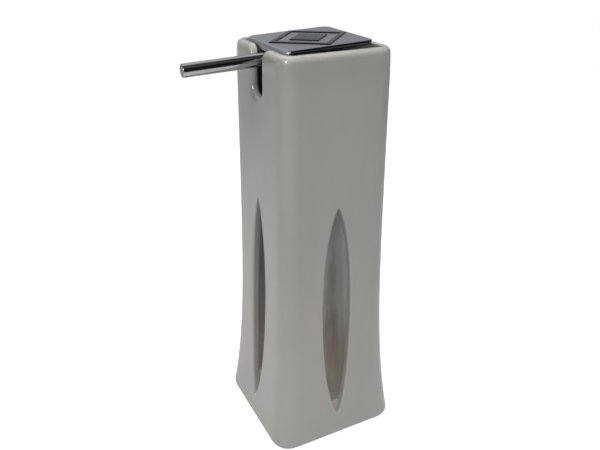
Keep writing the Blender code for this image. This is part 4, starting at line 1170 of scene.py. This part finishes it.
def plate_screw(number, side):
    """Pan head with a cross recess, on a shank whose surface is lifted along a helix.

    The dome is an arc of an ellipse. The thread rises in a straight line from the helix
    z = pitch (turn + whole) to the middle between two turns.
    """
    seat = SPOUT_RADIUS - EAR_THICKNESS - LOOSE_FIT
    low, tip = seat - SCREW_HEAD_HEIGHT, PLATE_BASE - LOOSE_FIT
    core = SCREW_RADIUS * SCREW_CORE_SHARE
    face = [(SCREW_HEAD_RADIUS * share, low) for share in np.linspace(0, SCREW_FACE_SHARE, SCREW_FACE_STEPS)]
    dome = [(SCREW_HEAD_RADIUS * math.sin(a), low + SCREW_HEAD_HEIGHT * SCREW_DOME_SHARE * (1 - math.cos(a)))
            for a in np.linspace(SCREW_DOME_START, math.pi / 2, SCREW_DOME_STEPS)]
    shank = [(core, level) for level in np.linspace(seat, tip - SCREW_POINT, SCREW_SHANK_STEPS)]
    point = [(SCREW_RADIUS * SCREW_TIP_SHARE, tip), (0, tip)]
    points = turned([*face, *dome, (SCREW_HEAD_RADIUS, seat), *shank, *point], SCREW_ROUND_STEPS)
    x, y, z = np.moveaxis(points, -1, 0)
    radius, angle = np.hypot(x, y), np.arctan2(y, x)
    cross = (np.minimum(np.abs(x), np.abs(y)) < CROSS_HALF) & (radius < CROSS_REACH_SHARE * SCREW_HEAD_RADIUS)
    points[..., 2] += cross * (np.abs(z - low) < WELD) * CROSS_DEPTH
    ridge = np.abs((z / SCREW_PITCH - angle / math.tau) % 1 - 0.5) * 2
    on_shank = (np.abs(radius - core) < WELD) & (z > seat + SCREW_PITCH)
    points[..., :2] *= (1 + on_shank * (1 - ridge) * SCREW_THREAD_SHARE)[..., None]
    return piece(f"pan_screw_{number}", [moved(points, screw_place(side))], "head", spring_steel(),
                 f"plate_screw_{number}", sharp=SHARP_ANGLE)


# Finishes

FINISHES = {}
SHADOW_CLEARNESS = 0.85
# The inside tone is painted light on the cavity's floor and lower walls, and the upper tone is painted shade
# on the upper inner wall
ZONE_TONES = (("edge", (0.41, 0.40, 0.38)), ("inside", (0.88, 0.80, 0.72)),
              ("upper_painted_shade", (0.035, 0.032, 0.029)), ("bare", (0.50, 0.43, 0.34)))


def shader(name, slot=None, **sockets):
    """Material with one surface shader and constants on its sockets, in the slot of its name or another."""
    material = bpy.data.materials.new(name)
    material.use_nodes = True
    material["slot"] = slot or name
    surface = material.node_tree.nodes["Principled BSDF"]
    for label, value in sockets.items():
        surface.inputs[label.replace("_", " ")].default_value = value
    return material, material.node_tree.nodes, material.node_tree.links, surface


def grain(nodes, links, scale, detail=3.0, stretch=(1, 1, 1)):
    """Noise in the piece's own metres, stretched along its axes."""
    place = nodes.new("ShaderNodeTexCoord")
    mapping = nodes.new("ShaderNodeMapping")
    mapping.inputs["Scale"].default_value = stretch
    noise = nodes.new("ShaderNodeTexNoise")
    noise.inputs["Scale"].default_value = scale
    noise.inputs["Detail"].default_value = detail
    links.new(place.outputs["Object"], mapping.inputs["Vector"])
    links.new(mapping.outputs["Vector"], noise.inputs["Vector"])
    return noise.outputs["Fac"]


def ramp(nodes, links, source, stops):
    """Colour ramp whose stops are (place, colour)."""
    made = nodes.new("ShaderNodeValToRGB")
    elements = made.color_ramp.elements
    for element, (place, colour) in zip(elements, stops):
        element.position, element.color = place, (*colour, 1)
    for place, colour in stops[2:]:
        elements.new(place).color = (*colour, 1)
    links.new(source, made.inputs["Fac"])
    return made.outputs["Color"]


def spread(nodes, links, source, low, high, start=0.3, end=0.7, kind="LINEAR"):
    """Number that goes from low to high while the source goes from start to end."""
    made = nodes.new("ShaderNodeMapRange")
    made.interpolation_type = kind
    limits = {"From Min": start, "From Max": end, "To Min": low, "To Max": high}
    for label, value in limits.items():
        made.inputs[label].default_value = value
    links.new(source, made.inputs["Value"])
    return made.outputs["Result"]


def worked(nodes, links, operation, *inputs):
    """Result of an operation on numbers, where each input is a socket or a plain number."""
    made = nodes.new("ShaderNodeMath")
    made.operation = operation
    for value, socket in zip(inputs, made.inputs):
        if isinstance(value, float):
            socket.default_value = value
        else:
            links.new(value, socket)
    return made.outputs[0]


def relief(nodes, links, source, strength, distance):
    """Bump from a height."""
    made = nodes.new("ShaderNodeBump")
    made.inputs["Strength"].default_value = strength
    made.inputs["Distance"].default_value = distance
    links.new(source, made.inputs["Height"])
    return made.outputs["Normal"]


def blended(nodes, links, share, first, second, kind="MIX"):
    """Mix of two colours, where each is a socket or a plain colour."""
    made = nodes.new("ShaderNodeMix")
    made.data_type, made.blend_type = "RGBA", kind
    links.new(share, made.inputs[0])
    for value, socket in ((first, made.inputs[6]), (second, made.inputs[7])):
        if isinstance(value, tuple):
            socket.default_value = (*value, 1)
        else:
            links.new(value, socket)
    return made.outputs[2]


def attribute(nodes, label):
    """Number stored at the piece's points."""
    made = nodes.new("ShaderNodeAttribute")
    made.attribute_name = label
    return made.outputs["Fac"]


def kept(maker):
    """Finish that is made once and then shared by its pieces."""
    def finish():
        if maker.__name__ not in FINISHES:
            FINISHES[maker.__name__] = maker()
        return FINISHES[maker.__name__]
    return finish


@kept
def glaze():
    """Warm grey glaze: cloudy tone, sparse specks, thinner on edges, a cream inside that is painted light, a
    nearly black upper inner wall that is painted shade, bare foot ring.
    """
    material, nodes, links, surface = shader(
        "glazed_ceramic", Roughness=0.4, IOR=1.5, Coat_Weight=1.0, Coat_Roughness=0.09, Coat_IOR=1.5)
    cloud = ramp(nodes, links, grain(nodes, links, 22.0, detail=4.0, stretch=(1, 1, 0.5)),
                 ((0.32, (0.317, 0.305, 0.284)), (0.68, (0.353, 0.342, 0.321))))
    fleck = ramp(nodes, links, grain(nodes, links, 950.0, detail=1.0),
                 ((0.76, (0, 0, 0)), (0.80, (0.7, 0.7, 0.7))))
    colour = blended(nodes, links, fleck, cloud, (0.20, 0.18, 0.155))
    # The inside and upper zones paint light and shade inside the sleeve
    for zone, tone in ZONE_TONES:
        colour = blended(nodes, links, attribute(nodes, zone), colour, tone)
    links.new(colour, surface.inputs["Base Color"])
    wave = grain(nodes, links, 60.0, detail=2.0)
    links.new(spread(nodes, links, wave, low=0.36, high=0.46), surface.inputs["Roughness"])
    bump = relief(nodes, links, wave, strength=0.10, distance=0.0006)
    links.new(bump, surface.inputs["Normal"])
    links.new(bump, surface.inputs["Coat Normal"])
    return material


@kept
def clear_plastic():
    """Clear blow-moulded plastic: faint flow lines upwards, a slightly uneven wall, and faint shadows."""
    material, nodes, links, surface = shader(
        "clear_plastic", IOR=1.5, Transmission_Weight=1.0, Alpha=0.5, Coat_Weight=1.0, Coat_Roughness=0.03)
    colour = ramp(nodes, links, grain(nodes, links, 30.0, detail=2.0, stretch=(1, 1, 0.2)),
                  ((0.3, (0.84, 0.82, 0.80)), (0.7, (0.88, 0.86, 0.84))))
    links.new(colour, surface.inputs["Base Color"])
    flow = grain(nodes, links, 120.0, detail=2.0, stretch=(1, 1, 0.12))
    links.new(spread(nodes, links, flow, low=0.22, high=0.30), surface.inputs["Roughness"])
    links.new(relief(nodes, links, flow, strength=0.12, distance=0.0004), surface.inputs["Normal"])
    path, passing = nodes.new("ShaderNodeLightPath"), nodes.new("ShaderNodeBsdfTransparent")
    both = nodes.new("ShaderNodeMixShader")
    links.new(worked(nodes, links, "MULTIPLY", path.outputs["Is Shadow Ray"], SHADOW_CLEARNESS),
              both.inputs["Fac"])
    links.new(surface.outputs["BSDF"], both.inputs[1])
    links.new(passing.outputs["BSDF"], both.inputs[2])
    links.new(both.outputs["Shader"], nodes["Material Output"].inputs["Surface"])
    return material


def moulded(name, dark, pale, roughness, **sockets):
    """Moulded plastic: a tone that drifts over centimetres and a fine eroded skin."""
    material, nodes, links, surface = shader(name, **sockets)
    links.new(ramp(nodes, links, grain(nodes, links, 45.0), ((0.3, dark), (0.7, pale))),
              surface.inputs["Base Color"])
    skin = grain(nodes, links, 2600.0, detail=2.0)
    links.new(spread(nodes, links, skin, roughness - 0.05, roughness + 0.05), surface.inputs["Roughness"])
    links.new(relief(nodes, links, skin, strength=0.15, distance=0.00006), surface.inputs["Normal"])
    return material


@kept
def white_plastic():
    """White moulded plastic."""
    return moulded("white_plastic", (0.74, 0.735, 0.71), (0.82, 0.82, 0.80), 0.40)


@kept
def milky_plastic():
    """Cloudy natural plastic that lets some light through."""
    return moulded("milky_plastic", (0.70, 0.725, 0.72), (0.80, 0.815, 0.81), 0.34, Transmission_Weight=0.35)


@kept
def seal_rubber():
    """Black seal rubber."""
    return moulded("seal_rubber", (0.018, 0.018, 0.018), (0.035, 0.034, 0.033), 0.68)


@kept
def spring_steel():
    """Drawn stainless steel with fine marks round the axis."""
    material, nodes, links, surface = shader("spring_steel", Metallic=1.0)
    draw = grain(nodes, links, 900.0, stretch=(1, 1, 6))
    links.new(ramp(nodes, links, draw, ((0.3, (0.52, 0.52, 0.51)), (0.7, (0.66, 0.655, 0.64)))),
              surface.inputs["Base Color"])
    links.new(spread(nodes, links, draw, low=0.2, high=0.36), surface.inputs["Roughness"])
    return material


@kept
def chrome():
    """Bright plating: faint haze in patches, and hairline marks along the tube."""
    material, nodes, links, surface = shader("chrome", Metallic=1.0)
    haze = grain(nodes, links, 140.0, detail=4.0)
    links.new(ramp(nodes, links, haze, ((0.3, (0.43, 0.435, 0.44)), (0.7, (0.48, 0.485, 0.49)))),
              surface.inputs["Base Color"])
    links.new(spread(nodes, links, haze, low=0.05, high=0.10), surface.inputs["Roughness"])
    hairline = grain(nodes, links, 2400.0, detail=2.0, stretch=(1, 0.05, 1))
    links.new(relief(nodes, links, hairline, strength=0.05, distance=0.00003), surface.inputs["Normal"])
    return material


@kept
def plate_metal():
    """Plated zinc: satin field with a fine grain, polished relief and edge in a darker tone that partly
    paints their dark reflection, and dark outlines that are a painted dark reflection.
    """
    material, nodes, links, surface = shader("plate_metal", slot="chrome", Metallic=1.0)
    polish = attribute(nodes, "polish")
    brushed = grain(nodes, links, 1500.0, stretch=(1, 1, 0.2))
    field = ramp(nodes, links, brushed, ((0.3, (0.54, 0.56, 0.59)), (0.7, (0.61, 0.63, 0.66))))
    # Polished relief and edge: a polished finish, with a darker tone that partly paints their dark reflection
    colour = blended(nodes, links, polish, field, (0.33, 0.355, 0.39))
    # Painted dark reflection where the line attribute is set
    colour = blended(nodes, links, attribute(nodes, "line"), colour, (0.05, 0.053, 0.06))
    links.new(colour, surface.inputs["Base Color"])
    rough = spread(nodes, links, polish, low=0.50, high=0.12, start=0, end=1)
    links.new(rough, surface.inputs["Roughness"])
    links.new(relief(nodes, links, brushed, strength=0.12, distance=0.00005), surface.inputs["Normal"])
    return material


# Stage, light and camera

FLOOR_GLOW = 0.75
FLOOR_MIRRORED_GLOW = 0.05
FLOOR_RADIUS = 1.1
FLOOR_STEPS = 128
SWEEP_SIDE = (-0.894, 0.449)
SWEEP_TILT = 0.55
SKY_STOPS = ((0.0, (1.0, 1.0, 1.0)), (0.20, (0.90, 0.90, 0.91)), (0.255, (0.42, 0.43, 0.44)),
             (0.30, (0.22, 0.23, 0.245)), (0.345, (0.19, 0.20, 0.215)), (0.40, (0.30, 0.305, 0.315)),
             (0.48, (0.32, 0.325, 0.335)), (0.53, (0.04, 0.04, 0.042)), (0.60, (0.02, 0.02, 0.022)),
             (0.71, (0.035, 0.035, 0.037)), (0.79, (0.015, 0.015, 0.016)), (0.94, (0.01, 0.01, 0.011)),
             (0.98, (0.09, 0.09, 0.092)), (1.0, (0.10, 0.10, 0.10)))
TENT_AXIS = (-0.55, 0.0, 0.835)
TENT_COSINES = (0.80, 0.93)
TENT_GLOW = 0.75

# Name, azimuth and elevation in degrees, distance and size in metres, watts, whether mirrored
LAMPS = (
    ("top", 0, 89, 1.1, 0.8, 8.0, False),
    ("key", 20, 55, 1.1, 0.5, 4.0, False),
    ("front", 62, 24, 1.2, 0.9, 2.7, False),
    ("right", 88, 72, 1.1, 0.5, 5.0, False),
    ("spark", 31, 25, 1.2, 0.28, 7.0, True),
)


def in_plain_view(nodes, links):
    """Light path node, and 1 for a camera ray that hasn't passed through any clear surface."""
    path = nodes.new("ShaderNodeLightPath")
    direct = worked(nodes, links, "LESS_THAN", path.outputs["Transparent Depth"], 0.5)
    return path, worked(nodes, links, "MULTIPLY", path.outputs["Is Camera Ray"], direct)


def floor_finish():
    """Pale floor that also shows white to the camera, and faintly in reflections."""
    material = bpy.data.materials.new("pale_floor")
    material.use_nodes = True
    nodes, links = material.node_tree.nodes, material.node_tree.links
    surface = nodes["Principled BSDF"]
    surface.inputs["Base Color"].default_value = (0.72, 0.72, 0.72, 1)
    surface.inputs["Roughness"].default_value = 0.9
    surface.inputs["Specular IOR Level"].default_value = 0.0
    surface.inputs["Emission Color"].default_value = (1, 1, 1, 1)
    path, direct = in_plain_view(nodes, links)
    mirrored = worked(nodes, links, "MAXIMUM", path.outputs["Is Glossy Ray"],
                      path.outputs["Is Transmission Ray"])
    glow = worked(nodes, links, "MULTIPLY", mirrored, FLOOR_MIRRORED_GLOW)
    links.new(worked(nodes, links, "MULTIPLY_ADD", direct, FLOOR_GLOW, glow),
              surface.inputs["Emission Strength"])
    return material


def stage_floor():
    """Round table under the object's foot: the points of a circle, as one flat face."""
    turn = np.linspace(0, math.tau, FLOOR_STEPS + 1)[:-1]
    rim = FLOOR_RADIUS * np.column_stack((np.cos(turn), np.sin(turn), 0 * turn))
    mesh = bpy.data.meshes.new("floor")
    mesh.from_pydata(rim.tolist(), [], [tuple(range(len(rim)))])
    mesh.materials.append(floor_finish())
    floor = bpy.data.objects.new("floor", mesh)
    bpy.context.scene.collection.objects.link(floor)


def sky():
    """World: white to the camera, and otherwise a white sweep on one side below a dark studio.

    The tone follows height less a share of the distance towards the sweep. Mirrored rays also meet
    the pale top of a light tent round one direction.
    """
    world = bpy.data.worlds.new("studio")
    bpy.context.scene.world = world
    world.use_nodes = True
    nodes, links = world.node_tree.nodes, world.node_tree.links
    place, split = nodes.new("ShaderNodeTexCoord"), nodes.new("ShaderNodeSeparateXYZ")
    links.new(place.outputs["Generated"], split.inputs[0])
    height = split.outputs["Z"]
    for axis, share in zip("XY", SWEEP_SIDE):
        height = worked(nodes, links, "MULTIPLY_ADD", split.outputs[axis], -SWEEP_TILT * share, height)
    shade = ramp(nodes, links, spread(nodes, links, height, low=0, high=1, start=-1, end=1), SKY_STOPS)
    aside = nodes.new("ShaderNodeVectorMath")
    aside.operation = "DOT_PRODUCT"
    aside.inputs[1].default_value = TENT_AXIS
    links.new(place.outputs["Generated"], aside.inputs[0])
    tent = spread(nodes, links, aside.outputs["Value"], 0, 1, *TENT_COSINES, kind="SMOOTHSTEP")
    path, direct = in_plain_view(nodes, links)
    mirrored = worked(nodes, links, "MULTIPLY", tent, path.outputs["Is Glossy Ray"])
    shade = blended(nodes, links, mirrored, shade, (TENT_GLOW, TENT_GLOW, TENT_GLOW))
    shade = blended(nodes, links, direct, shade, (1.0, 1.0, 1.0))
    links.new(shade, nodes["Background"].inputs["Color"])


def back_of(azimuth, elevation):
    """Direction of a place seen from the middle, in degrees: azimuth 0 is the front and 90 the right."""
    a, e = math.radians(azimuth), math.radians(elevation)
    return np.array([math.sin(a) * math.cos(e), -math.cos(a) * math.cos(e), math.sin(e)])


def level_right(back):
    """Level direction to the right of someone who looks against the back direction."""
    right = np.array([-back[1], back[0], 0])
    return right / np.linalg.norm(right)


def lamps():
    """Soft boxes round the object, each aimed at its middle from an azimuth and elevation.

    One is only mirrored, as small highlights on rounded edges, and the others only light surfaces.
    """
    middle = np.array([0, 0, SLEEVE_HEIGHT / 2])
    for name, azimuth, elevation, distance, size, power, in_gloss in LAMPS:
        back = back_of(azimuth, elevation)
        light = bpy.data.lights.new(name, "AREA")
        light.shape, light.size, light.energy = "SQUARE", size, power
        lamp = bpy.data.objects.new(name, light)
        lamp.visible_glossy, lamp.visible_diffuse = in_gloss, not in_gloss
        lamp.matrix_world = aimed(middle + back * distance, back)
        bpy.context.scene.collection.objects.link(lamp)


def aimed(place, back, roll=0.0):
    """Frame at a place whose Z axis is the back direction and whose X axis is level before the roll."""
    right = level_right(back)
    up = np.cross(back, right)
    c, s = math.cos(roll), math.sin(roll)
    side, top = c * right + s * up, c * up - s * right
    made = Matrix.Identity(4)
    for row in range(3):
        made[row][:] = (side[row], top[row], back[row], place[row])
    return made


UNIT = SLEEVE_HEIGHT / 100
VIEW_AZIMUTH = 63.357
VIEW_ELEVATION = 26.507
VIEW_ROLL = -0.143
VIEW_DISTANCE = 159.13
VIEW_SIDE = -3.673
VIEW_RISE = 4.315
VIEW_LEVEL = 50
VIEW_LENS = 37.23
VIEW_SENSOR = 36
VIEW_CLIP = (0.01, 50)
VIEW_SHIFT = (0.00785, 0.00028)


def camera():
    """Camera at the photograph's place, worked out in hundredths of the sleeve's height."""
    back = back_of(VIEW_AZIMUTH, VIEW_ELEVATION)
    right = level_right(back)
    target = np.array([0, 0, VIEW_LEVEL]) + VIEW_SIDE * right + VIEW_RISE * np.cross(back, right)
    lens = bpy.data.cameras.new("view")
    lens.lens, lens.sensor_width = VIEW_LENS, VIEW_SENSOR
    lens.shift_x, lens.shift_y = VIEW_SHIFT
    lens.clip_start, lens.clip_end = VIEW_CLIP
    eye = bpy.data.objects.new("view", lens)
    bpy.context.scene.collection.objects.link(eye)
    eye.matrix_world = aimed((target + back * VIEW_DISTANCE) * UNIT, back, math.radians(VIEW_ROLL))
    bpy.context.scene.camera = eye


def dress():
    """Make every piece over its node."""
    ceramic_sleeve()
    bottle()
    screw_collar()
    neck_gasket()
    pump_cylinder()
    cylinder_cap()
    stem()
    piston_seal()
    plunger()
    return_spring()
    ball_retainer()
    check_ball("lower_ball", "inlet_ball", "inlet_ball")
    check_ball("upper_ball", "outlet_ball", "outlet_ball")
    dip_tube()
    actuator_hub()
    spout_tube()
    spout_end_plug()
    spout_o_ring()
    press_plate()
    plate_screw(1, -1)
    plate_screw(2, 1)


dress()
stage_floor()
sky()
lamps()
camera()
bpy.context.scene.view_settings.view_transform = "Standard"
